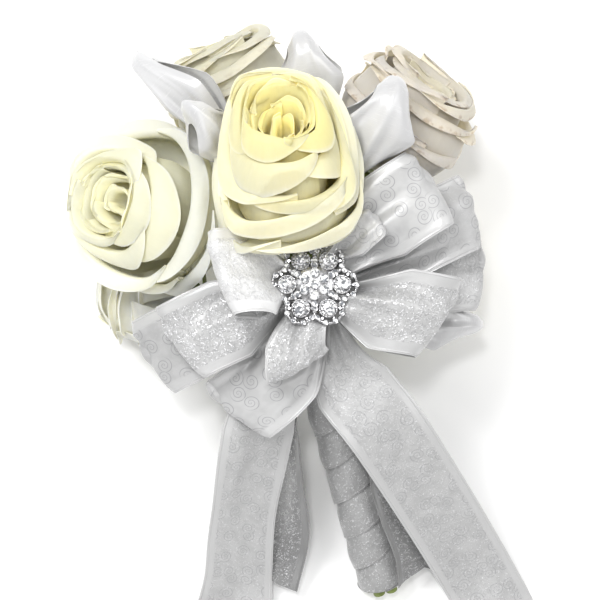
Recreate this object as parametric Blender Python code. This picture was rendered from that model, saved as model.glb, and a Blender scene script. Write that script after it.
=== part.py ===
"""A hand-tied bridal bouquet of seven cream roses, lying on its back on a flat surface.

Metres, +Z up. +Y runs from the cut stem ends towards the head, and the front with the bow faces +Z.
Each bloom, stem, ribbon loop and stone is an object of its own.
"""

import math

import bmesh
import bpy
from mathutils import Matrix, Vector

MM = 0.001
CLEARANCE = 0.3 * MM

# The middle of the object's footprint, which every object is moved by at the end
ORIGIN = Vector((9.5, -33.2, 0)) * MM

# The handle
CUT_END = Vector((44, -150, 10.8)) * MM
NECK = Vector((8, -25, 71)) * MM
STEM_RADIUS = 3.2 * MM
STEM_PITCH = 6.8 * MM
STEM_SHOWS = 5 * MM
BUNDLE_RADIUS = STEM_PITCH + STEM_RADIUS + CLEARANCE
WRAP_SEAM_RADIUS = 11.8 * MM
WRAP_BAND_RADIUS = 12.9 * MM
WRAP_BANDS = 6
WRAP_LEAN = 2.5 * MM
TAPE_LENGTH = 16 * MM
TAPE_THICKNESS = 0.9 * MM

# A bloom, from its seat on the sepals to the top of its petals
BELLY_HEIGHT = 32 * MM
PETAL_THICKNESS = 1 * MM
SPIRAL_STEP = 1.3 * MM
LAYER_TURN = 40
USUAL_COUNT = 4

# A petal is this much narrower at its base, up to this share of its length, and its corners draw
# back from its edge by this share
BASE_WIDTH = 0.55
BASE_SHARE = 0.45
CORNER_ROUNDING = 0.14

# A petal on the bloom's front side lies open: fully from this sine of its angle up, and less and
# less over this span below it
OPEN_ABOVE = 0.55
OPEN_SPAN = 1.5

# Ribbon
RIBBON_WIDTH = 40 * MM
RIBBON_THICKNESS = 0.9 * MM
FOOT_HALF_GAP = 0.9 * MM
FOOT_RADIUS = 1.6 * MM
SATIN_PINCH = 0.3

# The bow's centre and the brooch on it
BOW_CENTRE = Vector((7, 7, 113)) * MM
BOW_FACING = Vector((0, 0.04, 1)).normalized()
BOW_CORE_RADIUS = 7 * MM
BOW_CORE_HEIGHT = 22 * MM
WIRE_RADIUS = 0.9 * MM
WIRE_TURN = math.radians(5)
STONE_RADIUS = 2.2 * MM
BROOCH_PETALS = 6
BROOCH_PETAL_RING = 7.2 * MM
BROOCH_PETAL_AT = 13.2 * MM

# Where each bloom's belly is, which way the bloom faces, its petals' turn about its axis, its size
# across and along the axis, its layers' petal counts, and how far the petals on its front side lie
# open. Those marked True lie on the surface.
BLOOMS = {
    "rose_front": ((-7, 68, 147), (-0.06, 0.76, 0.65), 25, (0.98, 1.32), (3, 4, 4), 1.0, False),
    "rose_left": ((-79, 47, 100), (-0.75, 0.15, 0.64), 150, (1.2, 1.08), (3, 4, 4), 0.85, False),
    "rose_upper_left": ((-33, 105, 84), (-0.42, 0.9, 0.16), 14, (0.98, 1.0), (3, 4, 3), 0.4, False),
    "rose_upper_right": ((52, 91, 87), (0.55, 0.78, 0.2), 50, (1.02, 1.0), (3, 4, 4), 0.35, False),
    "rose_right": ((57, 10, 40), (0.86, 0.12, -0.1), 30, (0.9, 0.92), (3, 3, 3), 0.5, True),
    "rose_lower_left": ((-82, 4, 40), (-0.85, 0.1, -0.25), 65, (0.9, 0.92), (3, 3, 3), 0.4, True),
    "rose_back": ((6, 67, 34), (0.05, 0.72, -0.69), 0, (0.9, 0.92), (3, 3, 3), 0.5, True),
}

# The petals of each layer, from the heart out. A petal runs through five points from its seat over
# its belly and crest to its edge, each a radius and a height in mm. The first row of points is for
# petals that lie open and the second for closed ones. Then comes half the angle that a petal spans.
LAYERS = (
    (
        ((5.5, 12), (12.5, 27), (13, 41), (15.6, 45.6), (18.4, 44.6), (20.6, 38.7)),
        ((5.5, 12), (13, 23), (15.5, 38), (15, 48), (14.6, 54), (17.2, 57.5)),
        78,
    ),
    (
        ((6, 7), (12.5, 26), (17.5, 36.6), (21.5, 36.4), (28, 25.4)),
        ((6, 7), (15, 12), (20.5, 34), (19.6, 51), (22.5, 58)),
        60,
    ),
    (
        ((6.5, 3), (20, 5), (28, 13), (32, 17), (36.8, 12.6)),
        ((6.5, 3), (22, 8), (28.5, 30), (27.5, 44), (31.5, 49)),
        57,
    ),
)
BASE_ROWS = 2
CORE_PROFILE = ((0, 5.5), (3, 9), (26, 11.5), (37, 11.5), (44, 6))
CORE_TOP = 46.5
CORE_SIDES = 6

# Ribbon loops of the bow. Each foot is at a height on the bow's centre, in mm, and at an angle round
# it. Then come the middle and the bend of the centreline, the way the width runs at the bend, the
# width, and how far apart the two layers stand.
BOW_LOOPS = {
    "bow_loop_left_front": (7, 175, (-19, 12, 112), (-39, 14, 138), (0.3, -0.95, 0), 42, 12),
    "bow_loop_right_inner": (7, 78, (23, 29, 118), (36, 40, 130), (0.75, -0.66, 0), 20, 6),
    "bow_loop_right_front": (7, -38, (38, -4, 114), (70, -9, 120), (-0.49, -0.87, 0), 44, 15),
    "bow_loop_right_top": (3, 35, (33, 38, 107), (65, 56, 121), (0.57, -0.82, 0), 42, 12),
    "bow_loop_low_front": (3, 255, (-2, -14, 114), (-2, -35, 119.5), (-0.85, -0.5, 0), 34, 10),
    "bow_loop_left_middle": (-1, 193, (-28, -6, 105), (-61, -22, 112), (0.54, -0.84, 0), 42, 10),
    "bow_loop_right_back": (-1, 12, (50, 28, 97), (86, 45, 96), (0.3, -0.95, 0), 38, 9),
    "bow_loop_low_left": (-5.2, 255, (4, -30, 96), (-33, -57, 96), (0.75, -0.66, 0), 42, 8),
    "bow_loop_left_back": (-5.2, 185, (-38, -10, 86), (-76, -30, 85), (0.5, -0.86, 0), 42, 10),
    "bow_loop_right_low": (-5.2, -5, (54, 12, 86), (92, 14, 81), (-0.03, -1, 0), 38, 7),
}

# Satin loops among the blooms: foot, middle and bend, the way the width runs at the foot and at the
# bend, the width and the gap, and the stem that the foot is tied to.
SATIN_LOOPS = {
    "satin_loop_top": (
        (8, 82, 92), (6, 106, 108), (1, 126, 113), (1, 0, 0), (0.98, 0.16, 0), 30, 11,
        "rose_upper_left",
    ),
    "satin_loop_upper_left": (
        (-25, 64, 99), (-45, 98, 141), (-76, 115, 119), (0.25, 0.25, 0.93), (0.6, 0.5, 0.55), 24, 8,
        "rose_left",
    ),
    "satin_loop_between": (
        (-24, 62, 108), (-43, 78, 138), (-50, 90, 147), (-0.55, -0.83, 0.1), (-0.55, -0.83, 0.1), 22, 8,
        "rose_upper_left",
    ),
    "satin_loop_right": (
        (22, 62, 106), (36, 76, 134), (45, 101, 134), (0.9, -0.3, -0.2), (0.9, -0.3, -0.2), 34, 11,
        "rose_upper_right",
    ),
    "satin_loop_far_right": (
        (40, -6, 73), (64, -12, 72), (87, -12, 72), (-0.1, -0.99, 0), (-0.1, -0.99, 0), 26, 9,
        "rose_right",
    ),
}

# Ribbon tails: the foot on the bow's centre as above, the centreline and the way the width runs at
# each of its points, then how deep the end is notched.
TAILS = {
    "ribbon_tail_left": (
        (-9.2, 235),
        ((-11, -32, 90), (-21, -66, 77), (-30, -112, 45), (-33, -146, 23), (-36, -168, 9),
         (-40, -182, 1.5), (-41.5, -191, 0.45), (-43, -200, 0.45)),
        ((0.95, -0.2, -0.1), (0.88, -0.1, -0.4), (0.82, -0.1, -0.55), (0.85, -0.12, -0.45),
         (0.99, -0.15, -0.1), (0.99, -0.12, 0), (0.99, -0.12, 0), (0.99, -0.12, 0)),
        12,
    ),
    "ribbon_tail_left_back": (
        None,
        ((-0.6, -42, 62), (-6, -62, 54), (-8, -90, 39), (-8, -115, 26), (-15, -138, 14),
         (-21, -157, 8)),
        ((0.1, 0.3, 0.95), (0.5, 0.1, 0.86), (0.5, 0.1, 0.86), (0.6, 0.1, 0.75),
         (0.9, 0.05, 0.4), (0.97, 0, 0.25)),
        9,
    ),
    "ribbon_tail_right": (
        (-9.2, 305),
        ((17, -25, 91), (27, -44, 88), (44, -66, 82), (70, -106, 48), (92, -142, 14), (104, -163, 4),
         (111, -176, 1), (115, -184, 0.45), (119, -192, 0.45)),
        ((0.95, 0.3, 0), (0.87, 0.5, 0), (0.84, 0.54, 0), (0.84, 0.54, 0), (0.85, 0.52, 0),
         (0.87, 0.5, 0), (0.88, 0.47, 0), (0.89, 0.45, 0), (0.89, 0.45, 0)),
        12,
    ),
    "ribbon_tail_right_back": (
        None,
        ((27.1, -43, 60), (41, -66, 56), (50, -92, 44), (57, -112, 36), (64, -134, 22),
         (67, -151, 14.6)),
        ((0.1, 0.3, -0.95), (0.7, 0.3, -0.6), (0.72, 0.25, -0.63), (0.7, 0.2, -0.68),
         (0.7, 0.1, -0.7), (0.7, 0.1, -0.7)),
        9,
    ),
}

# Where each stem stands in the handle: its angle round the middle stem, from the front to the right,
# and how long its bend is at the neck and at the bloom, as shares of its span.
STEMS = {
    "rose_upper_left": (None, 0.36, 0.3),
    "rose_front": (330, 0.15, 0.5),
    "rose_upper_right": (30, 0.36, 0.3),
    "rose_right": (150, 0.15, 0.12),
    "rose_back": (90, 0.2, 0.1),
    "rose_lower_left": (210, 0.15, 0.12),
    "rose_left": (270, 0.3, 0.3),
}


def material(name, colour, roughness, metallic=0.0):
    """A Principled material with the part's own colour, roughness and metallic value."""
    made = bpy.data.materials.get(name)
    if made:
        return made
    made = bpy.data.materials.new(name)
    made.use_nodes = True
    shader = made.node_tree.nodes["Principled BSDF"]
    shader.inputs["Base Color"].default_value = (*colour, 1)
    shader.inputs["Roughness"].default_value = roughness
    shader.inputs["Metallic"].default_value = metallic
    return made


def cream():
    return material("cream_petal", (0.93, 0.88, 0.66), 0.55)


def green():
    return material("stem_green", (0.22, 0.28, 0.09), 0.6)


def satin():
    return material("white_satin", (0.86, 0.86, 0.88), 0.35)


def glitter():
    return material("silver_white_ribbon", (0.76, 0.77, 0.79), 0.45)


def silver():
    return material("silver_metal", (0.62, 0.62, 0.64), 0.25, 1.0)


def crystal():
    return material("crystal", (0.95, 0.97, 1.0), 0.05)


def make_object(name, points, faces, look, smooth_below=40):
    """A mesh object, its faces turned outwards and its sharp edges kept sharp."""
    mesh = bpy.data.meshes.new(name)
    mesh.from_pydata([tuple(p) for p in points], [], faces)
    body = bmesh.new()
    body.from_mesh(mesh)
    bmesh.ops.recalc_face_normals(body, faces=body.faces)
    body.to_mesh(mesh)
    body.free()
    made = bpy.data.objects.new(name, mesh)
    bpy.context.collection.objects.link(made)
    mesh.materials.append(look)
    mesh.shade_smooth()
    mesh.set_sharp_from_angle(angle=math.radians(smooth_below))
    return made


def fuse(base, pieces, solver="EXACT"):
    """Joins the pieces to the base with one Boolean union, and removes them."""
    group = bpy.data.collections.new("joined")
    bpy.context.scene.collection.children.link(group)
    for piece in pieces:
        bpy.context.collection.objects.unlink(piece)
        group.objects.link(piece)
    union = base.modifiers.new("union", "BOOLEAN")
    union.operation = "UNION"
    union.operand_type = "COLLECTION"
    union.collection = group
    union.solver = solver
    graph = bpy.context.evaluated_depsgraph_get()
    joined = bpy.data.meshes.new_from_object(base.evaluated_get(graph))
    base.modifiers.clear()
    old = base.data
    base.data = joined
    joined.name = base.name
    bpy.data.meshes.remove(old)
    for piece in pieces:
        bpy.data.objects.remove(piece)
    bpy.data.collections.remove(group)
    tidy(base)
    return base


def tidy(body):
    """Leaves one closed shell: the largest piece, without sealed hollows inside it."""
    mesh = bmesh.new()
    mesh.from_mesh(body.data)
    bmesh.ops.triangulate(mesh, faces=mesh.faces)
    bmesh.ops.remove_doubles(mesh, verts=mesh.verts, dist=2e-6)
    bmesh.ops.dissolve_degenerate(mesh, edges=mesh.edges, dist=2e-6)
    bmesh.ops.triangulate(mesh, faces=mesh.faces)
    islands = []
    left = set(mesh.verts)
    while left:
        todo = [left.pop()]
        island = set(todo)
        while todo:
            for edge in todo.pop().link_edges:
                for corner in edge.verts:
                    if corner in left:
                        left.discard(corner)
                        island.add(corner)
                        todo.append(corner)
        islands.append(island)
    islands.sort(key=len, reverse=True)
    loose = [corner for island in islands[1:] for corner in island]
    bmesh.ops.delete(mesh, geom=loose, context="VERTS")
    mesh.to_mesh(body.data)
    mesh.free()


def turned_to(direction, spin=0.0):
    """The rotation that turns +Z to the direction, after a spin about +Z in degrees."""
    aim = Vector(direction).normalized().to_track_quat("Z", "Y")
    return aim.to_matrix() @ Matrix.Rotation(math.radians(spin), 3, "Z")


def slab(front, back):
    """Points and faces of a closed sheet from two like grids, split alike on both sides."""
    points = [p for row in front for p in row] + [p for row in back for p in row]
    far = sum(len(row) for row in front)
    starts = [sum(len(row) for row in front[:i]) for i in range(len(front))]
    triangles = []
    for i in range(len(front) - 1):
        a, b = starts[i], starts[i + 1]
        wide = len(front[i + 1])
        if len(front[i]) == wide:
            for j in range(wide - 1):
                triangles += [(a + j, a + j + 1, b + j + 1), (a + j, b + j + 1, b + j)]
        else:
            half = wide // 2
            triangles += [(a, b + j + 1, b + j) for j in range(half)]
            triangles.append((a, a + 1, b + half))
            triangles += [(a + 1, b + j + 1, b + j) for j in range(half, wide - 1)]
    faces = triangles + [(c + far, b + far, a + far) for a, b, c in triangles]
    rim = [starts[0] + j for j in range(len(front[0]))]
    rim += [starts[i] + len(front[i]) - 1 for i in range(1, len(front))]
    rim += [starts[-1] + j for j in range(len(front[-1]) - 2, -1, -1)]
    rim += [starts[i] for i in range(len(front) - 2, 0, -1)]
    for k, a in enumerate(rim):
        b = rim[(k + 1) % len(rim)]
        faces += [(a, a + far, b + far), (a, b + far, b)]
    return points, faces


def profile_point(profile, step):
    """The radius and height at a step along a profile, which may lie between two of its points."""
    last = len(profile) - 1
    i = min(max(int(step), 0), last - 1)
    share = step - i
    return [a + (b - a) * share for a, b in zip(profile[i], profile[i + 1])]


def petal_point(layer, size, openness, middle, u, step):
    """A point of a petal's middle surface: u from side to side, step from its seat to its edge."""
    open_profile, closed_profile, half_angle = layer
    last = len(open_profile) - 1
    v = step / last
    reach = step * (1 - CORNER_ROUNDING * v * abs(u) ** 2.4)
    widening = math.sin(math.pi / 2 * min(1, v / BASE_SHARE))
    spread = BASE_WIDTH + (1 - BASE_WIDTH) * widening
    angle = math.radians(middle + half_angle * spread * u)
    facing = min(1, max(0, 1 - (OPEN_ABOVE - math.sin(angle)) / OPEN_SPAN))
    open_share = facing * facing * (3 - 2 * facing) * openness
    opened = profile_point(open_profile, reach)
    closed = profile_point(closed_profile, reach)
    radius, height = (c + (o - c) * open_share for o, c in zip(opened, closed))
    radius += SPIRAL_STEP / MM * u * min(1, 2 * v)
    across, along = size
    radius *= across
    return Vector((radius * math.cos(angle), radius * math.sin(angle), height * along)) * MM


def petal(name, layer, size, openness, middle):
    """One petal: a thin cupped blade on a narrow base, whose edge may roll outwards."""
    last = len(layer[0]) - 1

    def spot(u, step):
        """A point of the petal, kept within its sides and its ends."""
        return petal_point(layer, size, openness, middle, max(-1, min(u, 1)), max(0, min(step, last)))

    front, back = [], []
    for step in range(last + 1):
        sides = (-0.5, 0.5) if step < BASE_ROWS else (-1, -0.5, 0, 0.5, 1)
        if math.cos(math.radians(middle)) > 0:
            # The diagonals of the two halves of the bloom mirror each other
            sides = sides[::-1]
        front_row, back_row = [], []
        for u in sides:
            across = spot(u + 0.5, step) - spot(u - 0.5, step)
            along = spot(u, step + 1) - spot(u, step - 1)
            normal = across.cross(along).normalized() * PETAL_THICKNESS / 2
            front_row.append(spot(u, step) + normal)
            back_row.append(spot(u, step) - normal)
        front.append(front_row)
        back.append(back_row)
    points, faces = slab(front, back)
    return make_object(name, points, faces, cream())


def bloom_core(name, size):
    """The tight heart and the seat, which the petals stand out of."""
    points, faces = [], []
    for height, radius in CORE_PROFILE:
        for k in range(CORE_SIDES):
            turn = 2 * math.pi * (k + 0.02 * height) / CORE_SIDES
            out = radius * size[0]
            points.append(Vector((out * math.cos(turn), out * math.sin(turn), height * size[1])) * MM)
    points.append(Vector((0, 0, CORE_TOP * size[1])) * MM)
    faces.append(tuple(range(CORE_SIDES)))
    rings = len(CORE_PROFILE)
    for i in range(rings - 1):
        for k in range(CORE_SIDES):
            a, b = i * CORE_SIDES + k, i * CORE_SIDES + (k + 1) % CORE_SIDES
            faces += [(a, b, b + CORE_SIDES), (a, b + CORE_SIDES, a + CORE_SIDES)]
    last = (rings - 1) * CORE_SIDES
    for k in range(CORE_SIDES):
        faces.append((last + k, last + (k + 1) % CORE_SIDES, len(points) - 1))
    return make_object(name, points, faces, cream())


def bloom(name, spin, size, counts, openness):
    """A rose bloom on +Z: a core and three layers of petals, in one body."""
    core = bloom_core(name, size)
    petals = []
    for index, (layer, count) in enumerate(zip(LAYERS, counts)):
        open_profile, closed_profile, half_angle = layer
        if index:
            half_angle *= USUAL_COUNT / count
        for k in range(count):
            middle = spin + 360 * k / count + LAYER_TURN * index
            shaped = (open_profile, closed_profile, half_angle)
            petals.append(petal(f"{name}_petal", shaped, size, openness, middle))
    return fuse(core, petals, "MANIFOLD")


def lowest(body):
    """The height of a body's lowest point in the world."""
    place = body.matrix_basis
    return min((place @ corner.co).z for corner in body.data.vertices)


def place_blooms():
    """Makes the blooms, and gives each one's seat and the way it faces."""
    seats = {}
    for name, (belly, facing, spin, size, counts, openness, on_floor) in BLOOMS.items():
        body = bloom(name, spin, size, counts, openness)
        facing = Vector(facing).normalized()
        seat = Vector(belly) * MM - facing * BELLY_HEIGHT * size[1]
        turn = turned_to(facing).to_4x4()
        body.matrix_basis = Matrix.Translation(seat) @ turn
        if on_floor:
            seat.z -= lowest(body)
            body.matrix_basis = Matrix.Translation(seat) @ turn
        seats[name] = (seat, facing)
    return seats


def handle_axes():
    """The way up the handle, and two directions across it: to the front and to the side."""
    up = (NECK - CUT_END).normalized()
    front = (Vector((0, 0, 1)) - up * up.z).normalized()
    return up, front, front.cross(up) * (1 if front.cross(up).x > 0 else -1)


def tube(path, radii, sides):
    """Points and faces of a closed tube along a path, with a radius at each point."""
    points, faces = [], []
    tangent = (path[1] - path[0]).normalized()
    across = tangent.orthogonal().normalized()
    for i, here in enumerate(path):
        ahead = path[min(i + 1, len(path) - 1)] - path[max(i - 1, 0)]
        tangent = ahead.normalized()
        across = (across - tangent * across.dot(tangent)).normalized()
        beside = tangent.cross(across)
        for k in range(sides):
            turn = 2 * math.pi * k / sides
            points.append(here + (across * math.cos(turn) + beside * math.sin(turn)) * radii[i])
    for i in range(len(path) - 1):
        for k in range(sides):
            a, b = i * sides + k, i * sides + (k + 1) % sides
            faces.append((a, b, b + sides, a + sides))
    faces.append(tuple(range(sides - 1, -1, -1)))
    faces.append(tuple(range((len(path) - 1) * sides, len(path) * sides)))
    return points, faces


def bezier(a, b, c, d, t):
    """A point on the cubic curve with the ends a and d and the handles b and c."""
    s = 1 - t
    return a * s ** 3 + b * 3 * s * s * t + c * 3 * s * t * t + d * t ** 3


def sepal(name, seat, facing, turn):
    """A narrow pointed sepal under the petals."""
    frame = turned_to(facing, turn)
    rows = ((4, -2.6, 2.6), (10, -1.4, 2.8), (18, 1.6, 0.5))
    front, back = [], []
    for out, rise, half in rows:
        front.append([seat + frame @ Vector((out, side * half, rise)) * MM for side in (-1, 1)])
        back.append([seat + frame @ Vector((out, side * half, rise - 0.9)) * MM for side in (-1, 1)])
    points, faces = slab(front, back)
    return make_object(name, points, faces, green())


def rose_stem(name, slot, seat, facing, neck_bend, bloom_bend):
    """A stem from its cut end, through the handle, to the hip and sepals under its bloom."""
    up, _, _ = handle_axes()
    start = CUT_END + slot - up * STEM_SHOWS
    neck = NECK + slot
    end = seat - facing * CLEARANCE
    hip = end - facing * 13 * MM
    span = (hip - neck).length
    path = [start, CUT_END + slot]
    radii = [STEM_RADIUS, STEM_RADIUS]
    steps = 6
    for k in range(steps):
        t = k / (steps - 1)
        leave = neck + up * span * neck_bend
        path.append(bezier(neck, leave, hip - facing * span * bloom_bend, hip, t))
        radii.append(STEM_RADIUS - 0.4 * MM * t)
    for back, radius in ((9.5, 3.6), (5.5, 5.6), (2.2, 6.0), (0, 4.8)):
        path.append(end - facing * back * MM)
        radii.append(radius * MM)
    points, faces = tube(path, radii, 6)
    stem = make_object(name, points, faces, green())
    sepals = [sepal(f"{name}_sepal", end, facing, 72 * k + 51) for k in range(5)]
    fuse(stem, sepals)
    return path[2 : 2 + steps]


def place_stems(seats):
    """A stem for each bloom: one up the middle of the handle and six around it."""
    _, front, side = handle_axes()
    paths = {}
    for name, (degrees, neck_bend, bloom_bend) in STEMS.items():
        slot = Vector((0, 0, 0))
        if degrees is not None:
            angle = math.radians(degrees)
            slot = (front * math.cos(angle) + side * math.sin(angle)) * STEM_PITCH
        paths[name] = rose_stem("stem_" + name, slot, *seats[name], neck_bend, bloom_bend)
    return paths


def sleeve(name, start, end, outer, inner, look, sides=12, lean=0.0):
    """A tube round the stems from start to end, its outer radius following the list outer."""
    up, front, side = handle_axes()
    points, faces = [], []
    rings = len(outer)
    for i, radius in enumerate(outer):
        share = i / (rings - 1)
        centre = start.lerp(end, share)
        slant = lean * math.sin(math.pi * share)
        for k in range(sides):
            turn = 2 * math.pi * k / sides
            out = front * math.cos(turn) + side * math.sin(turn)
            points.append(centre + out * radius + up * slant * math.sin(turn + 0.6))
    for centre in (end, start):
        for k in range(sides):
            turn = 2 * math.pi * k / sides
            out = front * math.cos(turn) + side * math.sin(turn)
            points.append(centre + out * inner)
    for i in range(rings + 1):
        for k in range(sides):
            a, b = i * sides + k, i * sides + (k + 1) % sides
            faces.append((a, b, b + sides, a + sides))
    last = (rings + 1) * sides
    for k in range(sides):
        faces.append((last + k, last + (k + 1) % sides, (k + 1) % sides, k))
    return make_object(name, points, faces, look)


def handle():
    """The ribbon wound round the stems, and the tape that binds them above it."""
    up, _, _ = handle_axes()
    outer = []
    for _ in range(WRAP_BANDS):
        outer += [WRAP_SEAM_RADIUS, WRAP_BAND_RADIUS]
    outer.append(WRAP_SEAM_RADIUS)
    wrap_end = NECK - up * TAPE_LENGTH
    bore = BUNDLE_RADIUS + CLEARANCE
    sleeve("handle_ribbon_wrap", CUT_END, wrap_end, outer, bore, satin(), lean=WRAP_LEAN)
    tape_start = wrap_end + up * CLEARANCE
    tape = [bore + TAPE_THICKNESS] * 2
    sleeve("binding_tape", tape_start, NECK, tape, bore, green())


def ribbon(name, centres, widths, look, notch=None):
    """A ribbon along a centreline. One with a notched end has three points across each row."""
    front, back = [], []
    fade = 2 * notch if notch else 0
    for i, (here, across) in enumerate(zip(centres, widths)):
        ahead = centres[min(i + 1, len(centres) - 1)] - centres[max(i - 1, 0)]
        normal = ahead.cross(across).normalized() * RIBBON_THICKNESS / 2
        row = [here - across, here + across]
        if notch is not None:
            to_end = (centres[-1] - here).length
            row.insert(1, here - ahead.normalized() * notch * max(0, 1 - to_end / fade))
        front.append([p + normal for p in row])
        back.append([p - normal for p in row])
    points, faces = slab(front, back)
    return make_object(name, points, faces, look, smooth_below=60)


def loop_line(foot, middle, bend, foot_across, across, width, gap, pinch=0.0, steps=14):
    """The centreline and half-width vectors of a loop, out to its bend and back.
    Its width narrows towards the bend by the share pinch."""
    across = Vector(across).normalized()
    foot_across = foot_across.normalized()
    if foot_across.dot(across) < 0:
        foot_across = -foot_across
    centres, widths = [], []
    lift = None
    for k in range(steps + 1):
        turn = 2 * math.pi * k / steps
        share = (1 - math.cos(turn)) / 2
        side = 1 if k <= steps / 2 else -1
        rise = FOOT_HALF_GAP * abs(math.cos(turn / 2)) * side
        rise += gap * MM / 2 * 1.55 * math.sin(turn) * share
        s = 1 - share
        spine = foot * s * s + middle * 2 * s * share + bend * share * share
        heading = (middle - foot) * s + (bend - middle) * share
        here = foot_across.lerp(across, min(1, share / 0.7)).normalized()
        up = here.cross(heading).normalized()
        if up.dot(lift or Vector((0, 0, 1))) < 0:
            up = -up
        lift = up
        centres.append(spine + lift * rise)
        wide = 0.22 + 0.78 * min(1, share / 0.6) - pinch * max(0, share - 0.4) / 0.6
        widths.append(here * width * MM / 2 * wide)
    return centres, widths


def bow_foot(height, degrees):
    """A place on the side of the bow's centre, and the direction round it there."""
    side = Vector((1, 0, 0))
    side = (side - BOW_FACING * side.dot(BOW_FACING)).normalized()
    forth = BOW_FACING.cross(side)
    turn = math.radians(degrees)
    out = side * math.cos(turn) + forth * math.sin(turn)
    place = BOW_CENTRE + BOW_FACING * height * MM + out * (BOW_CORE_RADIUS + CLEARANCE)
    return place, BOW_FACING.cross(out)


def bow_loops():
    """The loops of the front bow, their feet gathered round its centre."""
    for name, (height, degrees, middle, bend, across, width, gap) in BOW_LOOPS.items():
        foot, round_it = bow_foot(height, degrees)
        middle, bend = Vector(middle) * MM, Vector(bend) * MM
        centres, widths = loop_line(foot, middle, bend, round_it, across, width, gap)
        ribbon(name, centres, widths, glitter())


def satin_loops(stem_paths):
    """The white loops tucked between the blooms, each on a gathered foot tied to a stem."""
    for name, (foot, middle, bend, foot_across, across, width, gap, stem) in SATIN_LOOPS.items():
        foot, middle, bend = (Vector(p) * MM for p in (foot, middle, bend))
        centres, widths = loop_line(
            foot, middle, bend, Vector(foot_across), across, width, gap, SATIN_PINCH
        )
        made = ribbon(name, centres, widths, satin())
        path = stem_paths[stem][:4]
        nearest = min(range(3), key=lambda i: (path[i].lerp(path[i + 1], 0.5) - foot).length)
        tied = path[nearest].lerp(path[nearest + 1], 0.5)
        along = (path[nearest + 1] - path[nearest]).normalized()
        away = foot - tied
        away = (away - along * away.dot(along)).normalized()
        start = foot + (middle - foot).normalized() * 3 * MM
        line = [start, foot, tied + away * 9 * MM, tied + away * (STEM_RADIUS + CLEARANCE)]
        points, faces = tube(line, [FOOT_RADIUS, FOOT_RADIUS * 1.4, FOOT_RADIUS, FOOT_RADIUS], 5)
        fuse(made, [make_object(name + "_foot", points, faces, satin())])


def smooth_line(knots, per_span):
    """A smooth curve through the knots."""
    line = []
    for i in range(len(knots) - 1):
        a, b = knots[max(i - 1, 0)], knots[i]
        c, d = knots[i + 1], knots[min(i + 2, len(knots) - 1)]
        for k in range(per_span):
            t = k / per_span
            line.append(
                0.5
                * (
                    2 * b
                    + (c - a) * t
                    + (2 * a - 5 * b + 4 * c - d) * t * t
                    + (3 * b - a - 3 * c + d) * t ** 3
                )
            )
    line.append(knots[-1].copy())
    return line


def tails():
    """The ribbon ends that hang from the bow and lie on the surface."""
    for name, (foot, line, across, notch) in TAILS.items():
        knots = [Vector(p) * MM for p in line]
        directions = [Vector(p).normalized() for p in across]
        if foot:
            place, round_it = bow_foot(*foot)
            knots.insert(0, place)
            directions.insert(0, round_it if round_it.dot(directions[0]) > 0 else -round_it)
        centres = smooth_line(knots, 2)
        widths = []
        for i, direction in enumerate(smooth_line(directions, 2)):
            wide = min(1, 0.18 + 0.82 * i / 4)
            widths.append(direction.normalized() * RIBBON_WIDTH / 2 * wide)
            centres[i].z = max(centres[i].z, abs(widths[i].z) + RIBBON_THICKNESS / 2)
        ribbon(name, centres, widths, glitter(), notch * MM)


def lathe(name, profile, sides, look):
    """A body turned about +Z from (radius, height) pairs, from its bottom to its top."""
    points, faces = [], []
    for radius, height in profile:
        for k in range(sides):
            turn = 2 * math.pi * k / sides
            points.append(Vector((radius * math.cos(turn), radius * math.sin(turn), height)) * MM)
    for i in range(len(profile) - 1):
        for k in range(sides):
            a, b = i * sides + k, i * sides + (k + 1) % sides
            faces.append((a, b, b + sides, a + sides))
    faces.append(tuple(range(sides - 1, -1, -1)))
    faces.append(tuple(range((len(profile) - 1) * sides, len(profile) * sides)))
    return make_object(name, points, faces, look)


def bow_frame(height=0.0):
    """The place and rotation of the bow's centre, a height above the middle of its core."""
    place = Matrix.Translation(BOW_CENTRE + BOW_FACING * height)
    return place @ turned_to(BOW_FACING).to_4x4()


def bow_core():
    """The gathered centre of the bow, with a hole down it for the wire, and the wire itself."""
    half = BOW_CORE_HEIGHT / 2 / MM
    radius = BOW_CORE_RADIUS / MM
    hole = (WIRE_RADIUS + CLEARANCE) / MM
    sides = 14
    profile = [(hole, -half), (radius, -half), (radius * 0.82, 0), (radius, half), (hole, half)]
    points, faces = [], []
    for r, height in profile:
        for k in range(sides):
            turn = 2 * math.pi * k / sides
            points.append(Vector((r * math.cos(turn), r * math.sin(turn), height)) * MM)
    rings = len(profile)
    for i in range(rings):
        for k in range(sides):
            a, b = i * sides + k, i * sides + (k + 1) % sides
            c, d = (i + 1) % rings * sides + (k + 1) % sides, (i + 1) % rings * sides + k
            faces.append((a, b, c, d))
    core = make_object("bow_centre", points, faces, satin())
    core.matrix_basis = bow_frame()


def bow_wire():
    """The wire that carries the bow: down through its centre and along the stems to the tape."""
    up, front, side = handle_axes()
    top = BOW_CENTRE + BOW_FACING * (BOW_CORE_HEIGHT / 2 - 1 * MM)
    below = BOW_CENTRE - BOW_FACING * (BOW_CORE_HEIGHT / 2 + 2 * MM)
    seat = NECK - up * 8 * MM
    beside = front * math.cos(WIRE_TURN) + side * math.sin(WIRE_TURN)
    seat += beside * (BUNDLE_RADIUS + TAPE_THICKNESS + 2 * CLEARANCE + WIRE_RADIUS)
    leave = seat + up * 26 * MM
    path = [top, below]
    path += [bezier(below, below - BOW_FACING * 8 * MM, leave, seat, k / 7) for k in range(1, 8)]
    points, faces = tube(path, [WIRE_RADIUS] * len(path), 6)
    make_object("bow_wire", points, faces, silver())


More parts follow.
